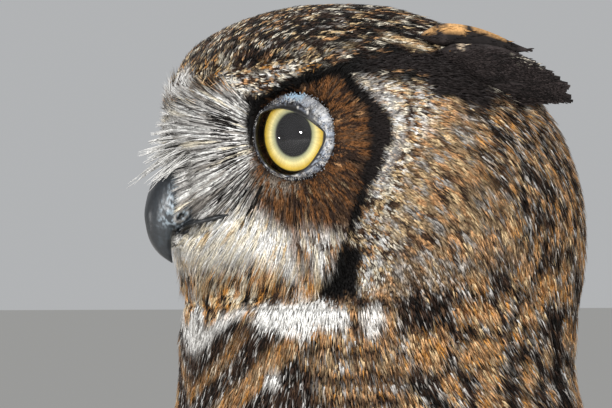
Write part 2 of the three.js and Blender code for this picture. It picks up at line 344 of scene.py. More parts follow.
def ruff_marks(points, back, up):
    """Cream with umber spots behind the rim, then soft tan, then the boldly patched nape."""
    spots = streaks(points, 1.1, 1.3, 20, 24)
    soft = streaks(points, 1.3, 2.6, 45, 25)
    drift = 8 * (soft_noise(points, 7, 26) - 0.5)
    ruff = flecked(spots, [CREAM, WHITE, PALE_GREY, BUFF, SEPIA, UMBER, PEACH], [19, 8, 13, 14, 17, 20, 9])
    tan = flecked(soft, [PEACH, TAN, ASH, BUFF, SEPIA, UMBER], [20, 30, 16, 12, 14, 8])
    nape = plumes(points, 3.0, 5.6, 58, 27)
    low_nape = plumes(points, 7.5, 8.5, 84, 28)
    ruff = ruff * mix(1, 0.78, ramp(-4, -20, up))[:, None]
    colour = painted(ruff, tan, ramp(33, 42, back - 0.35 * up + drift))
    # Behind the neck patch the feathers are smoky, without an edge to where they begin.
    smoky = streaks(points, 0.9, 4.5, 48, 39)
    smoky = flecked(smoky, [UMBER, SEPIA, ASH, PALE_GREY, TAN], [34, 22, 17, 9, 18])
    colour = painted(colour, smoky, 0.85 * ramp(-29, -40, up + drift) * ramp(24, 34, back + drift))
    nape = painted(nape, low_nape, ramp(-33, -38, up + drift / 2))
    nape_from = np.interp(up, (-46, -35, 10), (28, 57, 44))
    return painted(colour, nape, ramp(nape_from, nape_from + 7, back + drift))


def disc_marks(points, back, up):
    """Brown behind the eye, streaked white before it, and cream on the cheek and chin."""
    fine = rays(points, 0.6, 2.4, 29)
    wide = soft_noise(points, 6, 30)
    brown = flecked(fine, [RUFOUS, SEPIA, UMBER, PEACH, SOOT], [36, 32, 25, 3, 4])
    low_brown = flecked(fine, [RUFOUS, SEPIA, UMBER, TAN], [30, 28, 33, 9])
    # The plumes before the eye are pale strands with a dark line between one and the next.
    strand, offset = nearest_cell(along_rays(points, 0.95, 9.0), 0.95, 36)
    lore = flecked(strand, [WHITE, PALE_GREY, ASH, CREAM], [38, 36, 16, 10])
    between = ramp(0.27, 0.36, np.abs(offset[:, 1])) * mix(0.85, 0.6, ramp(-8, -16, up))
    lore = painted(lore, mix(SOOT, UMBER, 0.4), between)
    cream = flecked(fine, [WHITE, CREAM, PALE_GREY, BUFF], [44, 34, 16, 6])
    mixed = flecked(fine, [WHITE, CREAM, ASH, SEPIA, UMBER, PEACH], [36, 20, 15, 10, 8, 11])
    colour = painted(brown, low_brown, ramp(-8, -16, up) * ramp(0.3, 0.6, wide))
    edge = np.interp(up, (-40, -32, -27, -17), (4, 0, -1, -13)) + 3 * (wide - 0.5)
    low = ramp(-24, -31, up) * ramp(edge - 1, edge + 3, back)
    colour = painted(colour, mixed, low * ramp(0.2, 0.5, wide))
    gape_up = gape_line(back)
    over_gape = ramp(-0.3, 0.6, up - gape_up) * ramp(-16, -20, back)
    colour = painted(colour, lore, ramp(-9.5, -13.5, back) * np.maximum(ramp(-26, -18, up), over_gape))
    below_eye = ramp(1, 0.4, np.hypot((back + 5.5) / 9, (up + 13.8) / 4)) * ramp(0.2, 0.5, fine)
    colour = painted(colour, mix(ASH, TAN, 0.4), 0.75 * below_eye)
    cheek = ramp(edge + 1, edge - 3, back) * ramp(-15, -23, up + 0.25 * (back + 20))
    colour = painted(colour, cream, cheek * (1 - over_gape))
    # The dark skin of the gape shows as a line that thins towards the cheek.
    breadth = np.interp(back, (-30, -18), (1.5, 0.5))
    gape = ramp(1, 0.6, np.abs(up - gape_up) / breadth) * ramp(-17.5, -19, back)
    return painted(colour, SLATE * 0.7, gape)


def head_marks(points):
    sway = np.stack([soft_noise(points, 2.4, seed) for seed in (11, 12)], axis=1) - 0.5
    back, up = back_and_up(points)
    back, up = back + 2.0 * sway[:, 0], up + 2.0 * sway[:, 1]
    reach, angle = disc_polar(back, up)
    rim, half = rim_at(angle)
    below_crown = ramp(18, 13, up + 0.2 * np.maximum(back - 24, 0)) * ramp(7, 12, back)
    colour = painted(crown_marks(points, back, up), ruff_marks(points, back, up), below_crown)
    colour = painted(colour, disc_marks(points, back, up), ramp(0.03, -0.03, reach - rim))

    # The ruff's foremost feathers have whiter tips.
    tips = ramp(0.14, 0.06, reach - rim - half) * ramp(-0.02, 0.0, reach - rim - half)
    tips = tips * ramp(-20, 0, angle) * ramp(52, 44, angle)
    tips = tips * ramp(0.3, 0.45, streaks(points, 1.1, 1.3, 20, 24))
    colour = painted(colour, WHITE, 0.35 * tips)

    # Buff and black bars under the chin, reaching highest below the bill's corner.
    bars = streaks(points, 1.5, 3.6, 125, 31)
    chin = flecked(bars, [PEACH, BUFF, UMBER, SOOT, SEPIA, ORANGE_BUFF, CREAM], [20, 20, 14, 17, 9, 9, 11])
    chin_edge = -40.5 + 5.0 * np.exp(-(((back + 10) / 6) ** 2))
    colour = painted(colour, chin, ramp(chin_edge + 0.8, chin_edge - 0.8, up) * ramp(12, 6, back))

    # The black rim, the dark before the eye, the dark stripe to the ear tuft (dark feathers and painted shade
    # under the brow), the neck patch.
    black = ramp(1, 0.75, np.abs(reach - rim) / np.maximum(half, 1e-3)) * (half > 0.01)
    black = np.maximum(black, ramp(1.1, 0.7, np.hypot((back + 11.4) / 2.2, (up - 3) / 7)))
    # The stripe over the eye is dark feathers, with painted shade where the brow overhangs the lids.
    stripe_low = np.interp(back, (10, 24, 33, 36.5, 39, 50, 58), (16.3, 17.0, 17.6, 16.0, 10.7, 7.9, 6.5))
    stripe_high = np.interp(back, (8, 13, 24, 40, 60), (18.5, 20.3, 22.2, 23.5, 23.5))
    stripe_and_brow_shade = ramp(-0.6, 0.6, up - stripe_low) * ramp(0.6, -0.6, up - stripe_high)
    black = np.maximum(black, stripe_and_brow_shade * ramp(6, 10, back) * ramp(60, 54, back))
    patch = ramp(0, 1.5, back - 13.4 - 0.63 * (up + 32.5)) * ramp(19.5, 17.5, back)
    black = np.maximum(black, patch * ramp(-47.5, -46, up) * ramp(-30, -32, up))
    return painted(colour, mix(SOOT * 0.4, CHARCOAL * 0.8, ramp(14, 26, back)[:, None]), black)


# %% [markdown]
# The neck wears wavy cross bars under a bright white throat: dark ones, with orange-buff and grey
# ones by turns between them. The lower body follows the species: fine dark bars on a pale belly,
# a mottled brown back, barred wings and tail, and pale buff legs.

# %% The neck's markings
BAR_SPACING = 7.3  # one dark and one light bar of the neck
BAR_FROM = -60.2  # the middle of the first dark bar, up from the iris


def neck_marks(points):
    back, up = back_and_up(points)
    drift = soft_noise(points, 11, 32) - 0.5
    fine = streaks(points, 0.65, 4.0, 80, 33)
    mid = streaks(points, 3.2, 4.5, 80, 34)
    orange = flecked(fine, [ORANGE_BUFF, PEACH, RUFOUS, TAN, BUFF], [17, 34, 7, 28, 14])
    grey = flecked(fine, [ASH, TAN, PEACH, PALE_GREY, SEPIA, BUFF], [24, 30, 14, 10, 14, 8])
    dark = flecked(fine, [UMBER, SOOT, SEPIA], [46, 34, 20])
    turns = (up - BAR_FROM) / BAR_SPACING + 0.5 * drift + 0.2 * (mid - 0.5) + 0.004 * (back - 15)
    from_dark = np.abs((turns + 0.5) % 1 - 0.5)
    greyer = ramp(0.3, 0.6, np.sin((turns - 0.25) * math.pi) ** 2 * 0.7 + mid * 0.4)
    colour = painted(painted(orange, grey, greyer), dark, ramp(0.3, 0.19, from_dark) * ramp(0.97, 0.8, mid))

    # At the side and back of the neck the feathers are larger and each shows its own pattern.
    side = plumes(points, 7.5, 8.5, 84, 28)
    colour = painted(colour, side, ramp(26, 32, back + 6 * drift))

    # The front: a dark field with slanting orange stripes, and white down the breast.
    slant = 0.72 * (back + 8.6) - 0.69 * (up + 66) + 3 * drift
    field = flecked(fine, [UMBER, SOOT, SEPIA, PALE_GREY, ASH], [44, 33, 8, 7, 8])
    front = ramp(3, -1, back + 0.5 * (up + 60)) * ramp(-51, -54, up)
    colour = painted(colour, field, front)
    lines = ramp(3.3, 2.2, np.abs(slant)) + 0.7 * ramp(1.9, 1.0, np.abs(slant + 10.4))
    colour = painted(colour, orange, 0.8 * np.clip(lines, 0, 1) * ramp(4, 1, back) * ramp(-54, -57, up))
    spot = ramp(1.1, 0.8, np.hypot(back + 5.8, up + 68.4) / 2.6)
    breast = flecked(fine, [PALE_GREY, WHITE, ASH, UMBER], [34, 44, 15, 7])
    edge = -24.5 + 0.25 * (up + 50) + 4 * drift
    colour = painted(colour, breast, np.maximum(ramp(edge + 1.2, edge - 1.2, back), spot))

    # The throat: a white lens, a smaller patch behind it and a streak running down before it.
    sway = 2.4 * (soft_noise(points, 3, 35) - 0.5)
    fray = 2.2 * (fine - 0.5)
    notch = 1.6 * np.exp(-(((back - 8) / 2) ** 2)) - 1.2 * np.exp(-(((back - 3) / 4) ** 2))
    level = up + sway + fray + 50.9
    lens = np.hypot((back - 2.3) / 13.8, (level - notch * (level < 0)) / 4.7)
    small = np.hypot((back - 21.9) / 4.0, (up + sway + fray + 51.2) / 4.2)
    along = np.clip((-17 - back) / 8.6, 0, 1)
    streak = np.abs(up + 49.4 + 8.5 * along + sway) / 2.6 + ramp(-15, -12, back) + ramp(-27, -31, back)
    white = np.maximum(ramp(1.05, 0.9, lens), 0.8 * ramp(1.1, 0.6, small))
    return painted(colour, WHITE, np.maximum(white, 0.72 * ramp(1, 0.6, streak)))


# %% The body's markings, and all together
BELLY_SPACING = 8.0  # the bars are some 5 mm apart in life, finer than these feathers can carry


def body_marks(points, normals):
    z = points[:, 2]
    drift = soft_noise(points, 21, 41)
    mid = cell_values(points, 6.0, 42)
    fine = cell_values(points * (0.5, 0.5, 1), 1.2, 44)
    behind = ramp(-0.15, 0.4, normals[:, 1] + 0.3 * (soft_noise(points, 12, 43) - 0.5))
    phase = (z / BELLY_SPACING + 1.3 * drift + 0.2 * mid) % 1
    pale = flecked(fine, [BUFF, CREAM, WHITE, PALE_GREY, ORANGE_BUFF], [28, 28, 12, 20, 12])
    bar = flecked(fine, [UMBER, SEPIA, SOOT], [58, 24, 18])
    belly = painted(pale, bar, 0.95 * ramp(0.27, 0.17, np.abs(phase - 0.5)) * ramp(0.96, 0.9, mid))
    dark = flecked(fine, [UMBER, SEPIA, SOOT, RUFOUS], [38, 24, 24, 14])
    light = flecked(fine, [ASH, BUFF, SEPIA, UMBER, PALE_GREY], [24, 22, 20, 24, 10])
    mottled = painted(dark, light, ramp(0.46, 0.58, soft_noise(points * (1, 1, 0.7), 8, 45)))
    mottled = painted(mottled, ORANGE_BUFF, 0.75 * ramp(0.14, 0.1, mid))
    colour = painted(belly, mottled, behind)
    legs = ramp(118, 70, z) * ramp(0.6, 0.2, behind)
    return painted(colour, painted(pale, BUFF, np.full(len(points), 0.6)), legs)


def marks(points, normals):
    """The plumage's colour at each place."""
    up = points[:, 2] - IRIS_MIDDLE[2]
    back, _ = back_and_up(points)
    fringe = np.interp(back, (-31, -28, -24, -18, -8, 20), (-43, -45, -53, -49.5, -46.5, -45))
    fringe = fringe + mix(2, 9, ramp(18, 30, back)) * (soft_noise(points, 2.5, 51) - 0.5)
    colour = painted(head_marks(points), neck_marks(points), ramp(fringe + 1, fringe - 1, up))
    chest = points[:, 2] - NECK_FOOT + 26 * (soft_noise(points, 13, 52) - 0.5)
    return painted(colour, body_marks(points, normals), ramp(-12, -42, chest))


# %% [markdown]
# ## One skin
# A real owl has one skin, with no seam at the neck or wing. Copies of the solids of flesh are
# joined, remeshed into a single surface and smoothed. Then each point sinks by the depth of the
# coat that will stand on it, and never by more than a third of what is left of a thin place.

# %% Join and remesh the flesh
TOES = ["middle", "inner", "outer", "hind"]
FLESH = ["head", "neck", "trunk"]
for hand in HANDS:
    FLESH += [f"wing_{hand}", f"thigh_{hand}", f"shank_{hand}"]
    FLESH += [f"toe_{toe}_{hand}" for toe in TOES]
FILLING = ["bill_upper", "bill_lower", "eye_left", "eye_right"]  # plugs the holes cut for them
SKIN_GRAIN = 2.1  # size of the remeshed squares
OVERLAP = 0.4  # closes the gaps between neighbouring solids


def joined_copy(names, swell):
    merged = bmesh.new()
    for name in names:
        part = bmesh.new()
        part.from_mesh(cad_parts[name].data)
        bmesh.ops.remove_doubles(part, verts=part.verts, dist=1e-6)
        part.normal_update()
        moves = [vertex.normal * swell * MM for vertex in part.verts]
        for vertex, move in zip(part.verts, moves):
            vertex.co += move
        scratch = bpy.data.meshes.new("scratch")
        part.to_mesh(scratch)
        merged.from_mesh(scratch)
        bpy.data.meshes.remove(scratch)
        part.free()
    mesh = bpy.data.meshes.new("joined")
    merged.to_mesh(mesh)
    merged.free()
    return mesh


def placed(name, data):
    """A new object in the scene that shows a mesh, a lamp or a camera."""
    thing = bpy.data.objects.new(name, data)
    bpy.context.scene.collection.objects.link(thing)
    return thing


def with_modifiers(name, mesh, settings):
    """A new object whose mesh is the given one after each modifier in turn."""
    piece = placed(name, mesh)
    for kind, values in settings:
        modifier = piece.modifiers.new(kind.title(), kind)
        for key, value in values.items():
            setattr(modifier, key, value)
    shaped = piece.evaluated_get(bpy.context.evaluated_depsgraph_get())
    result = bpy.data.meshes.new_from_object(shaped)
    piece.modifiers.clear()
    piece.data = result
    return piece


skin = with_modifiers(
    "skin",
    joined_copy(FLESH + FILLING, OVERLAP),
    [
        ("REMESH", {"mode": "VOXEL", "voxel_size": SKIN_GRAIN * MM, "use_smooth_shade": True}),
        ("SMOOTH", {"factor": 0.5, "iterations": 4}),
    ],
)
print("skin faces:", len(skin.data.polygons))

# %% Read a mesh as arrays


def mesh_arrays(mesh):
    """Points in millimetres, normals, and corner numbers of the triangles."""
    mesh.calc_loop_triangles()
    points = np.empty(len(mesh.vertices) * 3)
    mesh.vertices.foreach_get("co", points)
    normals = np.empty(len(mesh.vertices) * 3)
    mesh.vertices.foreach_get("normal", normals)
    corners = np.empty(len(mesh.loop_triangles) * 3, np.int32)
    mesh.loop_triangles.foreach_get("vertices", corners)
    return points.reshape(-1, 3) / MM, normals.reshape(-1, 3), corners.reshape(-1, 3)


def surface_tree(points, corners):
    return BVHTree.FromPolygons(points.tolist(), corners.tolist())


# %% [markdown]
# The frame's solids are also kept as one search tree that remembers which solid each triangle
# came from. It tells the skin, and later every feather, which part of the owl it is on.

# %% Which part a place is on
PARTS = sorted(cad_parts)
tree_points, tree_corners, part_of_triangle = [], [], []
for number, part in enumerate(PARTS):
    part_points, _, part_corners = mesh_arrays(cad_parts[part].data)
    tree_corners.append(part_corners + sum(map(len, tree_points)))
    tree_points.append(part_points)
    part_of_triangle += [number] * len(part_corners)
tree_points, tree_corners = np.concatenate(tree_points), np.concatenate(tree_corners)
part_of_triangle = np.array(part_of_triangle)
solids = surface_tree(tree_points, tree_corners)


def tree_of(part):
    """A search tree of one solid alone."""
    return surface_tree(tree_points, tree_corners[part_of_triangle == PARTS.index(part)])


def parts_at(points):
    nearest = [solids.find_nearest(Vector(point))[2] for point in points]
    return part_of_triangle[np.array(nearest)]


def on(parts, *words):
    """True where the part's name starts with one of the words."""
    wanted = [number for number, name in enumerate(PARTS) if name.startswith(words)]
    return np.isin(parts, wanted)


# %% Sink the skin by the depth of the coat
skin_points, skin_normals, skin_corners = mesh_arrays(skin.data)
skin_parts = parts_at(skin_points)
depth = np.full(len(skin_points), 2.4)
for words, amount in [
    (("head", "ear_tuft"), 1.1),
    (("bill",), 1.5),
    (("neck",), 1.4),
    (("thigh",), 2.4),
    (("shank",), 1.6),
    (("toe", "talon"), 0.9),
]:
    depth[on(skin_parts, *words)] = amount

skin_tree = surface_tree(skin_points, skin_corners)
for number, (point, normal) in enumerate(zip(skin_points, skin_normals)):
    inward = Vector(-normal)
    hit = skin_tree.ray_cast(Vector(point) + inward * 0.05, inward, 14.0)[3]
    if hit is not None:
        depth[number] = min(depth[number], hit / 3)

skin_edges = np.empty(len(skin.data.edges) * 2, np.int32)
skin.data.edges.foreach_get("vertices", skin_edges)
skin_edges = skin_edges.reshape(-1, 2)


def evened(values, rounds):
    """Each point's value averaged with its neighbours', so that the depth has no steps."""
    count = np.bincount(skin_edges.ravel(), minlength=len(values))
    for _ in range(rounds):
        total = np.bincount(skin_edges[:, 0], values[skin_edges[:, 1]], len(values))
        total += np.bincount(skin_edges[:, 1], values[skin_edges[:, 0]], len(values))
        values = (values + total / np.maximum(count, 1)) / 2
    return values


skin_points = skin_points - skin_normals * evened(depth, 6)[:, None]

# %% [markdown]
# The sockets are pressed in behind the eyes, so that the iris can lie deep in the head. The solid
# also holds the bristles' outline, in front of the face and beside the bill. The bristles are
# separate here, so the skin draws back to the face behind them and leaves the bill bare.

# %% Press in the eye sockets and draw back the face
SOCKET_RADIUS = 11.4
SOCKET_FLOOR = 1.5  # in front of the middle of the ball
for side in HANDS.values():
    ahead = heading(side, EYE_YAW)
    middle = BALL_MIDDLE * (side, 1, 1)
    away = skin_points - middle
    forward = away @ ahead
    off_axis = np.linalg.norm(away - forward[:, None] * ahead, axis=1)
    pressed = ramp(SOCKET_RADIUS + 2.0, SOCKET_RADIUS, off_axis) * (forward > SOCKET_FLOOR)
    skin_points -= ((forward - SOCKET_FLOOR) * pressed)[:, None] * ahead

bill_box = node_box("bill_upper")
BILL_FRONT, BILL_TIP = bill_box[0, 1], bill_box[0, 2]
FACE_FRONT = BILL_FRONT + 14.5
beyond = np.maximum(FACE_FRONT - skin_points[:, 1], 0)
beyond *= ramp(BILL_TIP + 7, BILL_TIP + 11, skin_points[:, 2])
beyond *= ramp(BILL_TIP + 35, BILL_TIP + 30, skin_points[:, 2])
skin_points[:, 1] += 0.85 * beyond
skin.data.vertices.foreach_set("co", (skin_points * MM).ravel())
skin.data.update()
skin_points, skin_normals, skin_corners = mesh_arrays(skin.data)
print("depth of coat, mm:", depth.min().round(2), "to", depth.max().round(2))

# %% [markdown]
# ## Building meshes from arrays
# Blender can be handed whole arrays of points and triangles at once, which is far quicker than
# adding faces one by one. Each piece also gets its colours as an attribute named Marks.

# %% A mesh from arrays
PIECES = []


def piece_from(name, points, triangles, colours, finish):
    mesh = bpy.data.meshes.new(name)
    mesh.vertices.add(len(points))
    mesh.vertices.foreach_set("co", (points * MM).ravel())
    mesh.loops.add(triangles.size)
    mesh.loops.foreach_set("vertex_index", triangles.ravel().astype(np.int32))
    mesh.polygons.add(len(triangles))
    mesh.polygons.foreach_set("loop_start", np.arange(0, triangles.size, 3, dtype=np.int32))
    mesh.update(calc_edges=True)
    mesh.shade_smooth()
    return kept(placed(name, mesh), colours, finish)


def kept(piece, colours, finish):
    """Colours a piece, gives it its finish, and makes it ride on the owl."""
    piece.data.materials.clear()
    piece.data.materials.append(finish)
    opaque = np.column_stack((np.clip(colours, 0, 1), np.ones(len(colours))))
    layer = piece.data.color_attributes.new("Marks", "FLOAT_COLOR", "POINT")
    layer.data.foreach_set("color", opaque.ravel())
    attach(piece, "root")
    PIECES.append(piece)
    return piece


def lay_out(piece, layer_name, places):
    """Gives a mesh a map that has one place for each of its points."""
    corner_points = np.empty(len(piece.data.loops), np.int32)
    piece.data.loops.foreach_get("vertex_index", corner_points)
    layer = piece.data.uv_layers.new(name=layer_name)
    layer.uv.foreach_set("vector", places[corner_points].ravel())


# %% [markdown]
# ## Finishes
# Feather is keratin, the stuff of hair and nail. Its barbs scatter light, so it is matt, with
# very little gloss. The colour comes from Marks, and a fine noise breaks it up, because
# no two barbs are quite alike. Values that are the same all over are set on the shader itself.

# %% Add a node


def node(tree, kind, inputs=None, **settings):
    """Adds a node with its settings, values and links. A node among the inputs gives its first output."""
    made = tree.nodes.new(kind)
    for key, value in settings.items():
        setattr(made, key, value)
    for socket, value in (inputs or {}).items():
        if isinstance(value, bpy.types.Node):
            value = value.outputs[0]
        if isinstance(value, bpy.types.NodeSocket):
            tree.links.new(value, made.inputs[socket])
        else:
            made.inputs[socket].default_value = value
    return made


def new_material(name):
    material = bpy.data.materials.new(name)
    material.use_nodes = True
    material.node_tree.nodes.clear()
    return material, material.node_tree


def per_metre(size):
    """A texture scale that repeats about once in size millimetres."""
    return 1 / (size * MM)


MIX_SHARE, MIX_A, MIX_B, MIX_RESULT = 0, 6, 7, 2  # a colour Mix node's sockets


def shaded(tree, colour, pattern, span, tones, share=1.0):
    """The colour, made darker or lighter by tones as the pattern goes through its span."""
    ends = {"From Min": span[0], "From Max": span[1], "To Min": tones[0], "To Max": tones[1]}
    tone = node(tree, "ShaderNodeMapRange", {"Value": pattern, **ends})
    sockets = {MIX_SHARE: share, MIX_A: colour, MIX_B: tone}
    mixed = node(tree, "ShaderNodeMix", sockets, data_type="RGBA", blend_type="MULTIPLY")
    return mixed.outputs[MIX_RESULT]


# %% Keratin down: the fine barbs of the head, neck and legs
DOWN_GRAIN = 0.7  # millimetres


def down_finish():
    material, tree = new_material("keratin_down")
    marks_in = node(tree, "ShaderNodeAttribute", attribute_name="Marks")
    place = node(tree, "ShaderNodeTexCoord")
    sockets = {"Vector": place.outputs["Object"], "Scale": per_metre(DOWN_GRAIN), "Detail": 2.0}
    grain = node(tree, "ShaderNodeTexNoise", sockets)
    colour = shaded(tree, marks_in, grain, (0.3, 0.7), (0.68, 1.22))
    sockets = {"Base Color": colour, "Roughness": 0.6, "Specular IOR Level": 0.14}
    surface = node(tree, "ShaderNodeBsdfPrincipled", sockets)
    node(tree, "ShaderNodeOutputMaterial", {"Surface": surface})
    return material


keratin_down = down_finish()

# %% [markdown]
# A vane is the flat blade of a larger feather. Its barbs leave the shaft at a slant, so slanting
# lines run across it, with a darker shaft down the middle. Barbs are about a fifth of a
# millimetre apart, too fine to show here, so they are drawn as coarse as half a millimetre.
# Flight feathers have dark bars too, spaced in real millimetres along the Vane map.

# %% Keratin vane: the blades of larger feathers
MAP_UNIT = 100.0  # millimetres along a feather for each unit of the Vane map
BARB_SPACING = 0.5
BARB_SLANT = 0.12  # over a blade's width, how far barbs run towards the tip, in units of the map
SHAFT_SHARE = 0.035  # of the blade's width


def vane_finish(name, bar_spacing=None):
    material, tree = new_material(name)
    colour = node(tree, "ShaderNodeAttribute", attribute_name="Marks")
    vane_map = node(tree, "ShaderNodeUVMap", uv_map="Vane")
    split = node(tree, "ShaderNodeSeparateXYZ", {"Vector": vane_map})
    centred = node(tree, "ShaderNodeMath", {0: split.outputs["X"], 1: 0.5}, operation="SUBTRACT")
    off_shaft = node(tree, "ShaderNodeMath", {0: centred}, operation="ABSOLUTE")
    slant = node(tree, "ShaderNodeMath", {0: off_shaft, 1: BARB_SLANT}, operation="MULTIPLY")
    along = node(tree, "ShaderNodeMath", {0: split.outputs["Y"], 1: slant}, operation="SUBTRACT")
    sockets = {0: along, 1: 2 * math.pi * MAP_UNIT / BARB_SPACING}
    turns = node(tree, "ShaderNodeMath", sockets, operation="MULTIPLY")
    barbs = node(tree, "ShaderNodeMath", {0: turns}, operation="SINE")
    place = node(tree, "ShaderNodeTexCoord")
    if bar_spacing:
        sockets = {"Vector": place.outputs["Object"], "Scale": per_metre(9), "Detail": 3.0}
        waver = node(tree, "ShaderNodeTexNoise", sockets)
        sockets = {0: split.outputs["Y"], 1: MAP_UNIT / bar_spacing, 2: waver}
        shifted = node(tree, "ShaderNodeMath", sockets, operation="MULTIPLY_ADD")
        phase = node(tree, "ShaderNodeMath", {0: shifted}, operation="FRACT")
        sockets = {"Value": phase, "From Min": 0.56, "From Max": 0.64}
        dark = node(tree, "ShaderNodeMapRange", sockets)
        sockets = {MIX_SHARE: dark, MIX_A: colour, MIX_B: (*UMBER * 0.8, 1)}
        colour = node(tree, "ShaderNodeMix", sockets, data_type="RGBA").outputs[MIX_RESULT]
    else:
        sockets = {"Vector": place.outputs["Object"], "Scale": per_metre(2.6), "Detail": 2.0}
        worms = node(tree, "ShaderNodeTexNoise", sockets)
        colour = shaded(tree, colour, worms, (0.42, 0.56), (0.45, 1.2))
    lined = shaded(tree, colour, barbs, (-1.0, 1.0), (0.82, 1.1))
    ends = {"From Min": SHAFT_SHARE, "From Max": SHAFT_SHARE / 3, "To Max": 0.7}
    shaft = node(tree, "ShaderNodeMapRange", {"Value": off_shaft, **ends})
    sockets = {MIX_SHARE: shaft, MIX_A: lined, MIX_B: (*SOOT, 1)}
    with_shaft = node(tree, "ShaderNodeMix", sockets, data_type="RGBA")
    relief = node(tree, "ShaderNodeBump", {"Height": barbs, "Distance": 0.05 * MM, "Strength": 0.5})
    sockets = {"Base Color": with_shaft.outputs[MIX_RESULT], "Roughness": 0.55}
    sockets |= {"Specular IOR Level": 0.22, "Normal": relief}
    surface = node(tree, "ShaderNodeBsdfPrincipled", sockets)
    node(tree, "ShaderNodeOutputMaterial", {"Surface": surface})
    return material


FLIGHT_BARS = 24.0  # millimetres from one dark bar to the next
keratin_vane = vane_finish("keratin_vane")
keratin_flight = vane_finish("keratin_flight_vane", FLIGHT_BARS)
print("vane finishes:", keratin_vane.name, keratin_flight.name)

# %% [markdown]
# ## Colour the skin
# Skin shows only in slits between feathers, where it lies in their shade. It wears the same
# markings a little darker, which reads as the depth of the coat.

# %% The skin's marks
def pattern_normals(normals, parts):
    """Wings are patterned like the back all round, and legs like the belly."""
    facing = normals.copy()
    facing[on(parts, "wing")] = (0, 1, 0)
    facing[on(parts, "thigh", "shank", "toe")] = (0, -1, 0)
    return facing


SKIN_SHADE = 0.55
skin_marks = marks(skin_points, pattern_normals(skin_normals, skin_parts))
kept(skin, skin_marks * SKIN_SHADE, keratin_down)
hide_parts(*FLESH)

# %% [markdown]
# ## Where feathers root
# Roots are scattered over the skin by area, with more where a region asks for more. Every
# triangle of the skin knows its part, its place back and up from the iris, and its place in the
# facial disc, so a region is a simple test.

# %% Measure the skin's triangles
triangle_points = skin_points[skin_corners]
middles = triangle_points.mean(axis=1)
spans = np.cross(
    triangle_points[:, 1] - triangle_points[:, 0], triangle_points[:, 2] - triangle_points[:, 0]
)
areas = np.linalg.norm(spans, axis=1) / 2
middle_parts = parts_at(middles)
middle_back, middle_up = back_and_up(middles)
middle_reach, middle_angle = disc_polar(middle_back, middle_up)
middle_facing = unit(spans)


def eye_place(points):
    """Places against the nearer eye's axis: towards the back of the head, up, and forward."""
    side_on = np.column_stack((np.abs(points[:, 0]), points[:, 1:])) - BALL_MIDDLE
    ahead = heading(1, EYE_YAW)
    return side_on @ np.array((-ahead[1], ahead[0], 0)), side_on[:, 2], side_on @ ahead


def lid_foot(angle):
    """Radius at which the lid has sunk into the face, by angle in degrees, 0 back and 90 up."""
    level, upright = np.cos(np.radians(angle)), np.sin(np.radians(angle))
    return 12.6 + 0.9 * level - 0.65 * upright - 1.0 * upright**2


def outside_lids(points):
    """Distance outside the foot of the lids; large for places behind the eye."""
    outward, over, forward = eye_place(points)
    gap = np.hypot(outward, over) - lid_foot(np.degrees(np.arctan2(over, outward)))
    return np.where(forward > 0, gap, 99.0)


BILL_ROOT_HALF_WIDTH = 7.6
beside_bill = (np.abs(middles[:, 0]) < BILL_ROOT_HALF_WIDTH) & (middles[:, 1] < FACE_FRONT + 9)
in_bill = beside_bill & (middles[:, 2] > BILL_TIP + 8.5) & (middles[:, 2] < BILL_TIP + 29)
in_bill |= beside_bill & (middles[:, 1] < BILL_FRONT + 8.3) & (middles[:, 2] < BILL_TIP + 29)
bare = on(middle_parts, "talon") | in_bill | (outside_lids(middles) < -0.4)
middle_rim, _ = rim_at(middle_angle)
on_head = on(middle_parts, "head", "ear_tuft", "bill", "eye") & ~bare
in_disc = on_head & (middle_reach < middle_rim)
# The line of the gape stays bare.
from_gape = np.abs(middle_up - gape_line(middle_back))
in_disc &= (from_gape > 1.2) | (middle_back > -18.5)
on_crown = on_head & ~in_disc & (middle_up > 12 - 0.12 * (middle_back - 24))
on_ruff = on_head & ~in_disc & ~on_crown
on_side = {"left": middles[:, 0] > 0, "right": middles[:, 0] <= 0}
print("disc, crown, ruff, cm2:", [round(areas[r].sum() / 100) for r in (in_disc, on_crown, on_ruff)])


def scatter(count, region, weight=None):
    """Random roots in a region of the skin: their places, normals and parts."""
    share = areas * region * (1 if weight is None else weight)
    chosen = rng.choice(len(areas), count, p=share / share.sum())
    a, b = rng.random((2, count))
    over = a + b > 1
    a[over], b[over] = 1 - a[over], 1 - b[over]
    blend = np.column_stack((1 - a - b, a, b))[:, :, None]
    corners = skin_corners[chosen]
    roots = (skin_points[corners] * blend).sum(axis=1)
    return roots, unit((skin_normals[corners] * blend).sum(axis=1)), middle_parts[chosen]


# %% [markdown]
# ## How feathers lie
# Plumage lies from the bill backwards and down, but in the facial disc it fans out from the eye
# to guide sound. A direction is worked out at each root and laid flat on the skin there.

# %% The lie of the coat
FEET_MIDDLE = node_box("shank_left").mean(axis=0)


def lie_slope(back, up):
    """Degrees below straight back at which the head's and neck's feathers lie, seen side on."""
    crown = -np.interp(back, [-34, -28, -22, -16, -6, 6, 19, 40], [120, 98, 76, 57, 38, 18, 7, -4])
    ruff = 12 + 1.05 * (back - 26) - 0.9 * up
    neck = 92 - np.where(back > 0, 0.65, 1.4) * back
    slope = mix(np.clip(ruff, 0, 88), np.clip(neck, 55, 128), ramp(-26, -44, up))
    return mix(slope, crown, ramp(9, 17, up + 0.12 * (back - 24)))


def laid_flat(vectors, normals):
    """Directions pressed flat against the skin."""
    return unit(vectors - np.sum(vectors * normals, axis=1, keepdims=True) * normals)


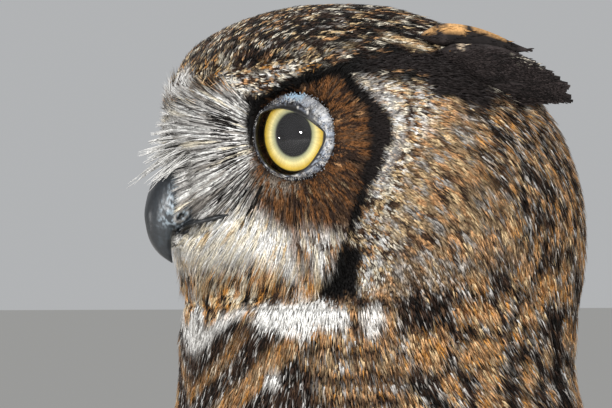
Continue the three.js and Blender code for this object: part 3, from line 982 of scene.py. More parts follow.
def lie_at(points, normals, parts):
    back, up = back_and_up(points)
    reach, angle = disc_polar(back, up)
    rim, _ = rim_at(angle)
    slope = np.radians(lie_slope(back, up))
    flow = np.column_stack((np.cos(slope), -np.sin(slope)))
    away = unit(np.column_stack((back - RAYS_FROM[0], up - RAYS_FROM[1])))
    flow = painted(flow, away, ramp(0.08, -0.08, reach - rim))
    vectors = back_direction(points) * flow[:, :1] + UP * flow[:, 1:]
    body = np.column_stack((0 * up, np.full(len(up), 0.22), np.full(len(up), -1.0)))
    body[on(parts, "wing")] = (0, 0.52, -0.85)
    body[on(parts, "thigh", "shank")] = (0, -0.05, -1)
    toes = on(parts, "toe")
    foot = np.column_stack((np.sign(points[:, 0]) * FEET_MIDDLE[0], np.full(len(up), FEET_MIDDLE[1]), 0 * up))
    body[toes] = unit((points - foot) * (1, 1, 0))[toes]
    vectors = painted(vectors, body, ramp(-74, -92, up))
    return laid_flat(vectors, normals)


# %% [markdown]
# ## Maps for baking
# When the model is exported, each piece's colours are baked into a picture through a map named
# OFBake. Each tuft gets a tiny patch of it at its root's place on an unwrap of the owl's own
# shape. Round parts unwrap like a globe seen from its pole, and long ones like a tin's label.

# %% Unwraps of the owl's shape
PATCH = 0.003


def fitted(places):
    low, high = places.min(axis=0), places.max(axis=0)
    return 2 * PATCH + (places - low) / np.maximum(high - low, 1e-6) * (1 - 4 * PATCH)


def globe_unwrap(roots, pole):
    pole = unit(np.array(pole, float))
    level = unit(np.cross(UP if abs(pole[2]) < 0.9 else (0, 1.0, 0), pole))
    over = np.cross(pole, level)
    out = unit(roots - roots.mean(axis=0) + pole * 25)
    reach = np.sqrt(np.maximum(1 - out @ pole, 0))
    turn = np.arctan2(out @ over, out @ level)
    return fitted(np.column_stack((reach * np.cos(turn), reach * np.sin(turn))))


def label_unwrap(roots, axis):
    turn = np.arctan2(roots[:, 0] - axis[0], -(roots[:, 1] - axis[1]))
    return fitted(np.column_stack((turn, roots[:, 2])))


# %% [markdown]
# ## Tufts
# The smallest feather here is a sliver: a closed form with five points, which swells from its
# root to a belly of three points and tapers to a tip. It has only six triangles, so a head can
# carry tens of thousands, and two bends are enough to lie over the curve of a skull.

# %% Slivers
SLIVER_FACES = np.array(
    [[0, 2, 1], [0, 1, 3], [0, 3, 2], [4, 1, 2], [4, 3, 1], [4, 2, 3]], np.int32
)
SLIVER_PATCH = np.array([[0, -1], [-0.5, 0], [0.5, 0], [0, 0.1], [0, 1]]) * PATCH / 2


def slivers(name, roots, bellies, tips, normals, width, colour, end, places):
    """Joined slivers, with a colour for each belly and each end. places are for baking."""
    count = len(roots)
    side = unit(np.cross(normals, tips - roots)) * width / 2
    ridge = bellies + normals * width * 0.3
    points = np.stack((roots, bellies - side, bellies + side, ridge, tips), axis=1)
    # Painted shade: roots lie in shade, and the belly's two edges a little, but white plumage passes light on
    # and stays bright inside.
    shade = mix(0.45, 0.85, ramp(0.3, 0.8, colour.mean(axis=1)))[:, None]
    shades = np.stack((colour * shade, colour * 0.95, colour * 0.95, colour, end), axis=1)
    starts = (np.arange(count, dtype=np.int32) * 5)[:, None, None]
    faces = (SLIVER_FACES + starts).reshape(-1, 3)
    shades = shades.reshape(-1, 3)
    piece = piece_from(name, points.reshape(-1, 3), faces, shades, keratin_down)
    lay_out(piece, "OFBake", (places[:, None, :] + SLIVER_PATCH).reshape(-1, 2))
    print(name, "slivers:", count, "triangles:", count * 6)
    return piece


# %% Grow a coat of slivers
ROOT_SINK = 0.8


def swung(lie, normals, spread):
    """Each direction turned at random on the skin, by about spread degrees."""
    turn = np.radians(rng.normal(0, spread, len(lie)))[:, None]
    return lie * np.cos(turn) + np.cross(normals, lie) * np.sin(turn)


def grow(name, rooting, length, width, lift, spread, unwrap):
    """Tufts at the scattered roots. length, width and lift in degrees may vary by root."""
    roots, normals, parts = rooting
    count = len(roots)
    lie = swung(lie_at(roots, normals, parts), normals, spread)
    length = (length * rng.uniform(0.75, 1.2, count))[:, None]
    width = (width * rng.uniform(0.75, 1.25, count))[:, None]
    rise = np.tan(np.radians(np.maximum(lift + rng.normal(0, 4, count), 1)))[:, None]
    bellies = roots + lie * length * 0.45 + normals * rise * length * 0.45
    tips = roots + lie * length + normals * rise * length * 0.7
    tone = rng.uniform(0.8, 1.15, count)[:, None]
    facing = pattern_normals(normals, parts)
    colour, end = marks(bellies, facing) * tone, marks(tips, facing) * tone
    sunk = roots - normals * ROOT_SINK
    return slivers(name, sunk, bellies, tips, normals, width, colour, end, unwrap(roots))


# %% [markdown]
# ### The head's coat
# Tufts are shortest round the eye and longest at the nape. They are hair-fine in the facial disc,
# where real feathers have loose barbs, and broader on the crown and ruff.

# %% Coat the facial disc, crown and ruff
HEAD_MIDDLE = node_box("head").mean(axis=0)
DISC_YAW = 41.5  # degrees from straight ahead; the way each half of the facial disc is unwrapped


def disc_length(roots):
    """Shortest beside the eye, longest on the chin and over the bill."""
    back, up = back_and_up(roots)
    from_lids = mix(1.6, 5.6, ramp(0, 9, outside_lids(roots))) * mix(1, 0.65, ramp(2, 10, back))
    length = from_lids + 2.6 * ramp(-20, -30, up) + 1.6 * ramp(-20, -27, back)
    return mix(length, 2.0, ramp(-26, -31, back) * ramp(-22, -26, up))


def ruff_length(roots):
    """Short and scale-like behind the rim, longer towards the nape."""
    return mix(2.8, 5.6, ramp(26, 52, back_and_up(roots)[0]))


def crown_length(roots):
    return mix(2.9, 4.4, ramp(5, 40, back_and_up(roots)[0]))


for hand, side in HANDS.items():
    half = on_side[hand]
    rooting = scatter(22000, in_disc & half)
    grow(f"coat_disc_{hand}", rooting, disc_length(rooting[0]), 0.38, 15, 7,
         lambda r, s=side: globe_unwrap(r, heading(s, DISC_YAW)))
    rooting = scatter(21500, on_ruff & half)
    grow(f"coat_ruff_{hand}", rooting, ruff_length(rooting[0]), 0.6, 15, 9,
         lambda r, s=side: globe_unwrap(r, (s, 0.4, 0)))
rooting = scatter(31000, on_crown)
grow("coat_crown", rooting, crown_length(rooting[0]), 0.52, 17, 12,
     lambda r: globe_unwrap(r, (0, 0, 1)))

# %% Coat the neck
on_neck = on(middle_parts, "neck") | (on(middle_parts, "trunk", "wing") & (middle_up > -92))


def body_unwrap(roots):
    return label_unwrap(roots, HEAD_MIDDLE)


for hand, side in HANDS.items():
    half = on_side[hand]
    rooting = scatter(23000, on_neck & half)
    neck_lift = mix(13, 22, ramp(25, 45, back_and_up(rooting[0])[0]))
    grow(f"coat_neck_{hand}", rooting, 5.6, 0.58, neck_lift, 7, body_unwrap)

# %% [markdown]
# ## Bill
# The bill is horn over bone: slate grey, satin, and hooked. It is lofted through cross sections
# between two lines in the owl's middle plane: the ridge on top and the cutting edge below. Each
# section is narrow at the ridge and widest just above the edge. Both lines are measured from the
# front and the tip of the bill's solid.

# %% Loft the upper bill
RIDGE = [
    (29.5, 30.0), (17.5, 29.6), (8.2, 27.6), (3.2, 22.2), (0.8, 14.5),
    (1.1, 9.2), (2.4, 4.9), (4.9, 1.6), (8.3, -0.8),
]
CUTTING_EDGE = [
    (29.5, 13.4), (21.5, 11.8), (13.5, 9.4), (9.6, 8.2), (8.1, 8.0),
    (7.8, 6.3), (7.9, 4.3), (8.1, 2.0), (8.6, -0.6),
]
BILL_HALF_WIDTH = [8.6, 8.8, 8.0, 7.0, 5.5, 4.5, 3.4, 2.1, 0.35]
BILL_ROWS = 130
BILL_STEPS = 84


def open_curve(stations, steps):
    stations = np.array(stations, float).reshape(len(stations), -1)
    place = np.linspace(0, len(stations) - 1, steps)
    i = np.minimum(np.floor(place).astype(int), len(stations) - 2)
    s = (place - i)[:, None]
    a, b, c, d = (stations[np.clip(i + k, 0, len(stations) - 1)] for k in (-1, 0, 1, 2))
    return b + 0.5 * s * (c - a + s * (2 * a - 5 * b + 4 * c - d + s * (3 * (b - c) + d - a)))


def tube_faces(rows, steps, caps=(True, True)):
    """Triangles of a tube of rings, closed at its start and its end where caps says so."""
    grid = np.arange(rows * steps).reshape(rows, steps)
    after = np.roll(grid, -1, axis=1)
    walls = np.stack((grid[:-1], after[:-1], after[1:], grid[1:]), axis=-1).reshape(-1, 4)
    faces = [walls[:, [0, 1, 2]], walls[:, [0, 2, 3]]]
    for cap, ring in zip(caps, (grid[0][::-1], grid[-1])):
        if cap:
            faces.append(np.stack((np.full(steps - 2, ring[0]), ring[1:-1], ring[2:]), axis=1))
    return np.concatenate(faces)


ridge, cutting = open_curve(RIDGE, BILL_ROWS), open_curve(CUTTING_EDGE, BILL_ROWS)
half_width = open_curve(BILL_HALF_WIDTH, BILL_ROWS)
turn = np.arange(BILL_STEPS) * 2 * math.pi / BILL_STEPS
fall = (1 - np.cos(turn)) / 2  # 0 at the ridge, 1 at the cutting edge
breadth = np.sign(np.sin(turn)) * np.abs(np.sin(turn)) ** 0.75 * mix(0.72, 1.12, fall)
bill_plane = ridge[:, None] + (cutting - ridge)[:, None] * fall[None, :, None]
bill_points = np.stack(
    (half_width * breadth, bill_plane[..., 0] + BILL_FRONT, bill_plane[..., 1] + BILL_TIP), axis=-1
).reshape(-1, 3)

# %% [markdown]
# Two things break the bill's smooth side: the cere, a band of waxy skin near the feathers with a
# pebbled surface, and the nostril, an oval pit at its lower edge.

# %% Pebble the cere and press in the nostrils
HORN_GREY = linear("#333a40")
HORN_DARK = linear("#1b1e22")
# the colour of the painted highlight on the cere's pebbles
HORN_HIGHLIGHT = linear("#7b868e")
NOSTRIL = (9.2, 12.4)  # behind the bill's front and above its tip
bill_back = bill_points[:, 1] - BILL_FRONT
bill_up = bill_points[:, 2] - BILL_TIP
pebbles = soft_noise(bill_points, 0.75, 71) * 0.6 + soft_noise(bill_points, 0.45, 72) * 0.4
cere = ramp(2.2, 4.4, bill_back - 0.12 * (bill_up - 12)) * ramp(8, 11, bill_up)
tilt = math.radians(35)
nose_along = (bill_back - NOSTRIL[0]) * math.cos(tilt) + (bill_up - NOSTRIL[1]) * math.sin(tilt)
nose_over = (bill_up - NOSTRIL[1]) * math.cos(tilt) - (bill_back - NOSTRIL[0]) * math.sin(tilt)
nose = np.hypot(nose_along / 1.5, nose_over / 0.85)
outward = np.sign(bill_points[:, 0])
bill_points[:, 0] += outward * (0.34 * cere * (pebbles - 0.5) - 1.1 * ramp(1.0, 0.45, nose))
bill_points[:, 0] += outward * 0.3 * ramp(0.5, 0, np.abs(nose - 1.35))

# %% Horn's finish


def horn_finish():
    """Horn grown in layers: satin, with faint growth lines and pits under a millimetre apart."""
    material, tree = new_material("slate_horn")
    marks_in = node(tree, "ShaderNodeAttribute", attribute_name="Marks")
    place = node(tree, "ShaderNodeTexCoord")
    sockets = {"Vector": place.outputs["Object"], "Scale": per_metre(0.9)}
    pits = node(tree, "ShaderNodeTexNoise", {**sockets, "Detail": 5.0, "Roughness": 0.6})
    colour = shaded(tree, marks_in, pits, (0.35, 0.68), (0.7, 1.35))
    relief = node(tree, "ShaderNodeBump", {"Height": pits, "Distance": 0.12 * MM, "Strength": 0.6})
    sockets = {"Base Color": colour, "Roughness": 0.34, "IOR": 1.54, "Normal": relief}
    surface = node(tree, "ShaderNodeBsdfPrincipled", sockets)
    node(tree, "ShaderNodeOutputMaterial", {"Surface": surface})
    return material


slate_horn = horn_finish()
down_side = np.tile(fall, BILL_ROWS)
bill_colour = np.tile(HORN_GREY * 0.8, (len(bill_points), 1))
# Painted highlight: the tops of the cere's raised pebbles are painted pale, except near the ridge.
pebble_highlight = ramp(0.48, 0.62, pebbles) * cere
bill_colour = painted(bill_colour, HORN_DARK * 1.3, 0.6 * cere)
bill_colour = painted(bill_colour, HORN_HIGHLIGHT * 1.2, pebble_highlight * ramp(0.12, 0.3, down_side))
bill_colour = painted(bill_colour, HORN_DARK * 0.8, 0.9 * ramp(0.36, 0.05, down_side))
layers = soft_noise(bill_points * (3, 1, 0.35), 1.6, 43)
bill_colour = painted(bill_colour, HORN_DARK, 0.6 * ramp(0.48, 0.62, layers) * (1 - cere))
bill_colour = painted(bill_colour, HORN_DARK, 0.45 * ramp(8, 2, bill_up))
# The nostril: a pale ring on its raised rim is a painted highlight, and the pit inside is painted near black
# as the shade of the hole.
bill_colour = painted(bill_colour, ASH, 0.5 * ramp(0.5, 0, np.abs(nose - 1.5)))
bill_colour = painted(bill_colour, SOOT * 0.5, ramp(1.0, 0.6, nose))
bill_faces = tube_faces(BILL_ROWS, BILL_STEPS)
bill = piece_from("bill", bill_points, bill_faces, bill_colour, slate_horn)
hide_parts("bill_upper")
print("bill, mm:", np.ptp(bill_points, axis=0).round(1))

# %% [markdown]
# The lower bill shows only as an edge under the hook. From the corner of the bill a dark line,
# the gape, runs back into the cheek. Talons are horn too. These pieces keep the form of their
# solids, remeshed fine enough that no facet shows.

# %% Lower bill and talons


def fine_copy(name, solid, grain, smoothing, colour):
    piece = with_modifiers(
        name,
        joined_copy([solid], 0.0),
        [
            ("REMESH", {"mode": "VOXEL", "voxel_size": grain * MM, "use_smooth_shade": True}),
            ("SMOOTH", {"factor": 0.5, "iterations": smoothing}),
        ],
    )
    points, _, _ = mesh_arrays(piece.data)
    kept(piece, colour(points), slate_horn)
    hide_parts(solid)
    return piece


def even_dark(points):
    return np.tile(HORN_DARK, (len(points), 1))


def talon_colour(points):
    share = ramp(0.0, 9.0, points[:, 2])
    return painted(np.tile(HORN_DARK * 0.7, (len(points), 1)), HORN_DARK * 1.5, share)


fine_copy("bill_under", "bill_lower", 0.5, 4, even_dark)
for hand in HANDS:
    for toe in TOES:
        fine_copy(f"claw_{toe}_{hand}", f"talon_{toe}_{hand}", 0.5, 3, talon_colour)
print("claws:", 8)

# %% [markdown]
# ## Rods
# Bristles and the line of the gape are thin rods that bend, all built by one function.

# %% Curved rods
ROD_SIDES = 3


def rods(spines, up, radius, colours):
    """Closed tapering rods along spines, an array of rods by points by three."""
    count, rows, _ = spines.shape
    along = unit(np.gradient(spines, axis=1))
    side = unit(np.cross(along, up))
    over = np.cross(side, along)
    turn = np.arange(ROD_SIDES) * 2 * math.pi / ROD_SIDES
    ring = side[:, :, None] * np.cos(turn)[:, None] + over[:, :, None] * np.sin(turn)[:, None]
    points = spines[:, :, None] + ring * radius[:, :, None, None]
    starts = (np.arange(count) * rows * ROD_SIDES)[:, None, None]
    faces = (tube_faces(rows, ROD_SIDES) + starts).reshape(-1, 3)
    return points.reshape(-1, 3), faces, np.repeat(colours, ROD_SIDES, axis=1).reshape(-1, 3)


# %% Places on the face
face_points, _, face_corners = mesh_arrays(bill.data)
face_points = np.concatenate((skin_points, face_points))
face_corners = np.concatenate((skin_corners, face_corners + len(skin_points)))
face_tree = surface_tree(face_points, face_corners)


def beside_iris(side, back, up):
    """The place that far back and up from the middle of the iris, in a plane through it."""
    return IRIS_MIDDLE * (side, 1, 1) + back * BACK * (side, 1, 1) + up * UP


def on_cheek(side, back, up, lift):
    """The place on the face that is so far back and up from the iris, seen side on."""
    look = heading(side, CHEEK_YAW)
    seen = beside_iris(side, back, up)
    hit, normal, _, _ = face_tree.ray_cast(Vector(seen + look * 60), Vector(-look), 100)
    if hit is None:
        return None
    outward = np.array(normal)
    return np.array(hit) + outward * lift * np.sign(outward @ look)


# %% The gape
GAPE_STEPS = 24


def eased(lines, rounds):
    """Evens out the numbers along each line, and leaves its two ends alone."""
    for _ in range(rounds):
        lines[:, 1:-1] = (lines[:, :-2] + 2 * lines[:, 1:-1] + lines[:, 2:]) / 4
    return lines


for hand, side in HANDS.items():
    along = np.linspace(0, 1, GAPE_STEPS)
    lifts = np.interp(along, (0, 0.2, 0.8, 1), (1.6, 2.1, 2.1, 0.9))
    line = open_curve(GAPE, GAPE_STEPS)
    spine = np.array([on_cheek(side, back, up, lift) for (back, up), lift in zip(line, lifts)])
    thickness = np.interp(along, (0, 0.15, 0.35, 0.7, 1), (0.5, 1.1, 1.35, 1.1, 0.3))
    shades = np.tile(HORN_DARK * 0.7, (1, GAPE_STEPS, 1))
    points, faces, colours = rods(eased(spine[None], 8), UP, thickness[None], shades)
    piece_from(f"gape_{hand}", points, faces, colours, slate_horn)
print("gape, steps:", GAPE_STEPS)

# %% [markdown]
# ### Plumes over the bill
# White plumes run from the front of the eye down over the root of the bill and end in an uneven
# edge, with the horn bare before it. They keep to the rays from the eye.

# %% Plumes over the bill
PLUMES = 3000
PLUMES_END = [  # up and back from the iris
    (-24.0, -34.0), (-17.6, -35.3), (-14.0, -35.2), (-10.4, -34.3), (-5.7, -32.8),
]
NOSTRIL_SEEN = (-31.4, -23.1)  # back and up from the iris; no plume covers it
for hand, side in HANDS.items():
    turn = np.radians(rng.uniform(160, 227, PLUMES))
    end_back = rng.triangular(-35.2, -32.5, -16, PLUMES)
    end_up = RAYS_FROM[1] + np.tan(turn) * (end_back - RAYS_FROM[0])
    end_back = np.maximum(end_back, np.interp(end_up, *zip(*PLUMES_END)) + rng.normal(0, 0.3, PLUMES))
    end_reach = (end_back - RAYS_FROM[0]) / np.cos(turn)
    length = rng.uniform(4.5, 7.5, PLUMES)
    places = np.full((3, PLUMES, 3), np.nan)
    for row, (share, lift) in enumerate(((0, -0.3), (0.5, 0.75), (1, 0.7))):
        reach = end_reach - length * (1 - share)
        backs, ups = RAYS_FROM[0] + np.cos(turn) * reach, RAYS_FROM[1] + np.sin(turn) * reach
        for number, (back, up) in enumerate(zip(backs, ups)):
            in_nostril = math.hypot(back - NOSTRIL_SEEN[0], up - NOSTRIL_SEEN[1]) < 2.0
            if in_nostril or (back < -22 and up < gape_line(back) + 1.3):
                continue
            place = on_cheek(side, back, up, lift)
            if place is not None:
                places[row, number] = place
    roots, bellies, tips = places[:, ~np.isnan(places).any(axis=(0, 2))]
    look = np.tile(heading(side, CHEEK_YAW - 20), (len(roots), 1))
    tone = rng.uniform(0.75, 1.1, (len(roots), 1))
    colour = marks(bellies, look) * tone * 1.1
    slivers(f"plumes_{hand}", roots, bellies, tips, look, 0.34, colour, colour * 0.9,
            globe_unwrap(roots, heading(side, DISC_YAW)))

# %% [markdown]
# ### Bristles before the eye
# Stiff black shafts fan forward from the front of the eye through the plumes, and a few bunches
# stand out past the bill. Each is a thin tapering rod with bends, because a straight one would
# stab into the face. The shafts are a tenth of a millimetre thick in life, too fine to show, so
# they are drawn a little coarser.

# %% Bristles that lie on the face
BRISTLE_ROWS = 8
DARK_SHAFTS = 130


def lying_bristle(side):
    """Places on the face along a ray from the eye, or None where it leaves the face."""
    turn, start, length = math.radians(rng.uniform(150, 252)), rng.uniform(12.5, 20), rng.uniform(7, 14)
    places = []
    for step in np.linspace(0, 1, BRISTLE_ROWS):
        reach = start + length * step
        back = RAYS_FROM[0] + math.cos(turn) * reach
        up = RAYS_FROM[1] + math.sin(turn) * reach
        places.append(on_cheek(side, back, up, 0.7 + 0.8 * step))
    if any(place is None for place in places):
        return None
    gaps = np.linalg.norm(np.diff(places, axis=0), axis=1)
    if gaps.max() > 3.5 * length / (BRISTLE_ROWS - 1):
        return None
    return places


# %% [markdown]
# The bunches that stand out each start on the face, where the plumes end, and droop to one tip.

# %% Bunches past the bill
BUNCHES = [  # start back and up from the iris, degrees of fall, length
    (-32.0, 3.0, 2, 5.5), (-32.5, 1.2, 8, 7.0), (-33.0, -0.5, 10, 9.0), (-32.5, -2.0, 18, 13.0),
    (-33.0, -3.2, 26, 12.0), (-33.0, -4.4, 34, 19.5), (-33.5, -4.6, 37, 10.5), (-33.5, -4.8, 44, 9.0),
]
STRANDS = 17


def bunch_strands(side, back, up, fall, length):
    lean = math.radians(fall)
    ahead = unit(np.array((0.10 * side, -math.cos(lean), -math.sin(lean))))
    middle = on_cheek(side, back, up, 0.0)
    for _ in range(STRANDS):
        root = on_cheek(side, back + rng.uniform(-0.5, 3), up + rng.normal(0, 0.9), -0.4)
        if root is None or middle is None:
            continue
        end = middle + length * rng.uniform(0.55, 1.0) * unit(ahead + rng.normal(0, 0.045, 3))
        step = np.linspace(0, 1, BRISTLE_ROWS)[:, None]
        sag = -0.10 * length * UP * (step**2 - step)
        thickness, tone = (0.21, WHITE * 0.85) if rng.random() < 0.85 else (0.14, SOOT)
        yield root + (end - root) * step + sag, (thickness, tone)


# %% Grow the bristles
for hand, side in HANDS.items():
    lying = [lying_bristle(side) for _ in range(DARK_SHAFTS)]
    made = [(places, (0.16, SOOT)) for places in lying if places]
    lying = len(made)
    for bunch in BUNCHES:
        made += bunch_strands(side, *bunch)
    spines = np.array([places for places, _ in made])
    taper = np.sqrt(1 - np.linspace(0, 0.95, BRISTLE_ROWS))
    radius = np.array([thickness for _, (thickness, _) in made])[:, None] * taper
    tones = np.array([tone for _, (_, tone) in made]) * rng.uniform(0.7, 1.1, (len(made), 1))
    shades = tones[:, None] * np.ones((1, BRISTLE_ROWS, 1))
    points, faces, colours = rods(spines, UP[None, None], radius, shades)
    bristles = piece_from(f"bristles_{hand}", points, faces, colours, keratin_down)
    places = globe_unwrap(spines[:, 0], heading(side, DISC_YAW))
    around, along = np.tile((-1, 0, 1), BRISTLE_ROWS), np.repeat(np.linspace(-1, 1, BRISTLE_ROWS), 3)
    patch = np.column_stack((around, along)) * PATCH / 2
    lay_out(bristles, "OFBake", (places[:, None] + patch).reshape(-1, 2))
    print("bristles", hand, lying, "lying,", len(made) - lying, "standing out")

# %% [markdown]
# ## Eyes
# An owl's eye is a deep tube with a big clear cornea. The iris is a flat golden disc well behind
# it, so the pupil stays in its middle from any side. The iris and pupil are a disc of rings, and
# the cornea is a thin clear dome in front, which catches the lights.

# %% Rings on the eye's axis
PUPIL_RADIUS = 6.2
EYE_STEPS = 96


def eye_frame(side):
    ahead = heading(side, EYE_YAW)
    across = np.array((-ahead[1] * side, ahead[0] * side, 0.0))  # towards the back of the head
    return BALL_MIDDLE * (side, 1, 1), ahead, across


def eye_rings(side, rings):
    """Points round the eye's axis: rings holds (radius, distance in front of the ball's middle)."""
    middle, ahead, across = eye_frame(side)
    turn = np.arange(EYE_STEPS) * 2 * math.pi / EYE_STEPS
    around = np.cos(turn)[:, None] * across + np.sin(turn)[:, None] * UP
    return np.concatenate([middle + ahead * far + around * radius for radius, far in rings])


def ring_faces(rings, flip, caps=(False, False)):
    faces = tube_faces(rings, EYE_STEPS, caps)
    return faces[:, ::-1] if flip else faces


# %% Iris, pupil and the shaded wall round them
GOLD = linear("#d2b045")
PALE_GOLD = linear("#dccf90")
OLIVE_GREY = linear("#8f9070")
PUPIL_BLACK = linear("#0e0d10")
# The wall round the iris and the lining of the lids are olive tissue deep in the socket, painted near black
# as the shade they lie in.
SHADED_EYE_WALL = linear("#1c190c")
RAYS_UNIT = 6  # millimetres from the pupil's middle for each unit of the Rays map

iris_rings = [  # radius, height over the iris, colour
    # The pupil is painted a little lighter towards its middle: a painted reflection of the lens deep in the
    # eye.
    (0.2, -0.1, PUPIL_BLACK * 1.25), (3.4, -0.1, PUPIL_BLACK * 0.8),
    (PUPIL_RADIUS - 0.25, -0.1, PUPIL_BLACK * 0.5), (PUPIL_RADIUS, 0.0, OLIVE_GREY * 0.3),
    (PUPIL_RADIUS + 0.35, 0.15, OLIVE_GREY),
    (PUPIL_RADIUS + 0.9, 0.12, mix(OLIVE_GREY, PALE_GOLD, 0.35)), (7.9, 0.06, PALE_GOLD),
    (8.8, 0.0, mix(PALE_GOLD, GOLD, 0.6)), (9.5, 0.0, GOLD), (IRIS_RADIUS - 0.15, -0.05, GOLD * 0.8),
    (IRIS_RADIUS + 0.15, -0.15, SOOT), (IRIS_RADIUS + 0.6, -0.3, SHADED_EYE_WALL), (11.0, -0.9, SHADED_EYE_WALL),
    (11.0, -3.5, SHADED_EYE_WALL),
]


def iris_finish():
    """Living iris: fine fibres run out from the pupil, under a wet film."""
    material, tree = new_material("iris_fibre")
    marks_in = node(tree, "ShaderNodeAttribute", attribute_name="Marks")
    ray_map = node(tree, "ShaderNodeUVMap", uv_map="Rays")
    sockets = {"Vector": ray_map, "Scale": 1.0, "Detail": 4.0}
    fibres = node(tree, "ShaderNodeTexNoise", sockets)
    split = node(tree, "ShaderNodeSeparateXYZ", {"Vector": ray_map})
    # The pupil is a hole, so it has no fibres.
    ends = {"From Min": PUPIL_RADIUS / RAYS_UNIT, "From Max": (PUPIL_RADIUS + 0.4) / RAYS_UNIT}
    in_iris = node(tree, "ShaderNodeMapRange", {"Value": split.outputs["Y"], **ends})
    colour = shaded(tree, marks_in, fibres, (0.3, 0.7), (0.86, 1.1), in_iris)
    sockets = {"Base Color": colour, "Roughness": 0.45, "Specular IOR Level": 0.2}
    surface = node(tree, "ShaderNodeBsdfPrincipled", sockets)
    node(tree, "ShaderNodeOutputMaterial", {"Surface": surface})
    return material


def cornea_finish():
    """Clear wet cornea, IOR 1.376. Only its outer face mirrors; the inner one lets all through."""
    material, tree = new_material("cornea")
    fresnel = node(tree, "ShaderNodeFresnel", {"IOR": 1.376})
    facing = node(tree, "ShaderNodeNewGeometry")
    outer = node(tree, "ShaderNodeMath", {0: 1.0, 1: facing.outputs["Backfacing"]}, operation="SUBTRACT")
    edge = node(tree, "ShaderNodeMath", {0: fresnel, 1: outer}, operation="MULTIPLY")
    clear = node(tree, "ShaderNodeBsdfTransparent")
    wet = node(tree, "ShaderNodeBsdfGlossy", {"Roughness": 0.02})
    mixed = node(tree, "ShaderNodeMixShader", {0: edge, 1: clear, 2: wet})
    node(tree, "ShaderNodeOutputMaterial", {"Surface": mixed})
    return material


iris_fibre, cornea_clear = iris_finish(), cornea_finish()
FIBRES = 90.0  # round the pupil, in units of the Rays map
CORNEA_THICKNESS = 0.3
for hand, side in HANDS.items():
    rings = [(radius, IRIS_DEPTH + far) for radius, far, _ in iris_rings]
    colours = np.repeat([colour for _, _, colour in iris_rings], EYE_STEPS, axis=0)
    faces = ring_faces(len(rings), side < 0, (True, False))
    iris = piece_from(f"iris_{hand}", eye_rings(side, rings), faces, colours, iris_fibre)
    turn = np.tile(np.arange(EYE_STEPS) * FIBRES / EYE_STEPS, len(rings))
    reach = np.repeat([radius / RAYS_UNIT for radius, _ in rings], EYE_STEPS)
    lay_out(iris, "Rays", np.column_stack((turn, reach)))

    dome = np.radians(np.linspace(6, 62, 14))
    inner_radius = BALL_RADIUS - CORNEA_THICKNESS
    shell = [(BALL_RADIUS, angle) for angle in dome] + [(inner_radius, angle) for angle in dome[::-1]]
    shell = [(radius * math.sin(angle), radius * math.cos(angle)) for radius, angle in shell]
    faces = ring_faces(len(shell), side > 0, (True, True))
    clear = np.ones((len(shell) * EYE_STEPS, 3))
    piece_from(f"cornea_{hand}", eye_rings(side, shell), faces, clear, cornea_clear)
    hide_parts(f"eye_{hand}")
print("pupil, iris and ball radius:", PUPIL_RADIUS, IRIS_RADIUS, round(BALL_RADIUS, 1))

# %% [markdown]
# ## Lids
# The upper lid hangs over the top of the iris and slants down to the back corner, which gives an
# owl its stern look. The lids are one ring that hugs the ball: a black margin, then mottled skin
# with tiny feathers, sinking into the face. The opening between them is three arcs of circles:
# one for each lid, which meet in a point at the back corner, and one that closes it in front.

# %% The edge of the lids
# Middle of each circle, back and up from the middle of the iris, and its radius.
LID_ARCS = {
    "upper": ((-3.0, -10.0), 17.2),
    "lower": ((-4.0, 3.5), 15.4),
    "front": ((0.0, 0.0), 11.2),
}
CORNERS = 60  # the more, the sharper the corners between the arcs


def reach_of_circle(turn, middle, radius):
    """How far a ray from the middle of the iris runs to a circle round it, at each turn."""
    along = np.cos(turn) * middle[0] + np.sin(turn) * middle[1]
    return along + np.sqrt(along**2 + radius**2 - np.dot(middle, middle))


turn = np.linspace(0, 2 * np.pi, EYE_STEPS, endpoint=False)
nearness = sum(reach_of_circle(turn, *arc) ** -CORNERS for arc in LID_ARCS.values())
edge_reach = nearness ** (-1 / CORNERS)  # the nearest arc, with the corners a little rounded
lid_edge = np.column_stack((np.cos(turn), np.sin(turn))) * edge_reach[:, None]
lid_angle = np.degrees(np.arctan2(lid_edge[:, 1], lid_edge[:, 0]))
lid_feet = lid_foot(lid_angle)
face_height = 9.7 - 1.1 * np.cos(np.radians(lid_angle))  # the face round the eye, over the ball's middle
edge_height = np.sqrt(np.maximum((BALL_RADIUS + 0.4) ** 2 - edge_reach**2, 0))
edge_height = np.maximum(edge_height, face_height - 0.4) + 0.2
# Share of the way from edge to foot, and height over the straight line between them.
LID_PROFILE = [
    (0.0, 0.0), (0.05, 0.22), (0.12, 0.3), (0.2, 0.2), (0.32, 0.55),
    (0.46, 0.7), (0.6, 0.75), (0.8, 0.45), (1.0, -0.8),
]
LINING = [(0.3, 0.9), (1.6, 3.2)]  # out from and back from the edge, inside the lid


def lid_row(side, reach, forward):
    middle, ahead, across = eye_frame(side)
    flat = lid_edge / edge_reach[:, None] * reach[:, None]
    return middle + flat[:, :1] * across + flat[:, 1:] * UP + forward[:, None] * ahead


def lid_points(side):
    rows = []
    for out, behind in LINING[::-1]:
        rows.append(lid_row(side, np.maximum(edge_reach + out - 0.3, 0), edge_height - behind))
    for share, proud in LID_PROFILE:
        height = mix(edge_height, face_height - 0.6, share) + proud
        rows.append(lid_row(side, mix(edge_reach, lid_feet, share), height))
    return np.concatenate(rows)


# the colour of the painted highlight along the top of the lids
HIGHLIGHT_BLUE = linear("#c6e2f6")
LID_BLUE = linear("#a3abb9")
GREY_BLUE = linear("#5b606b")


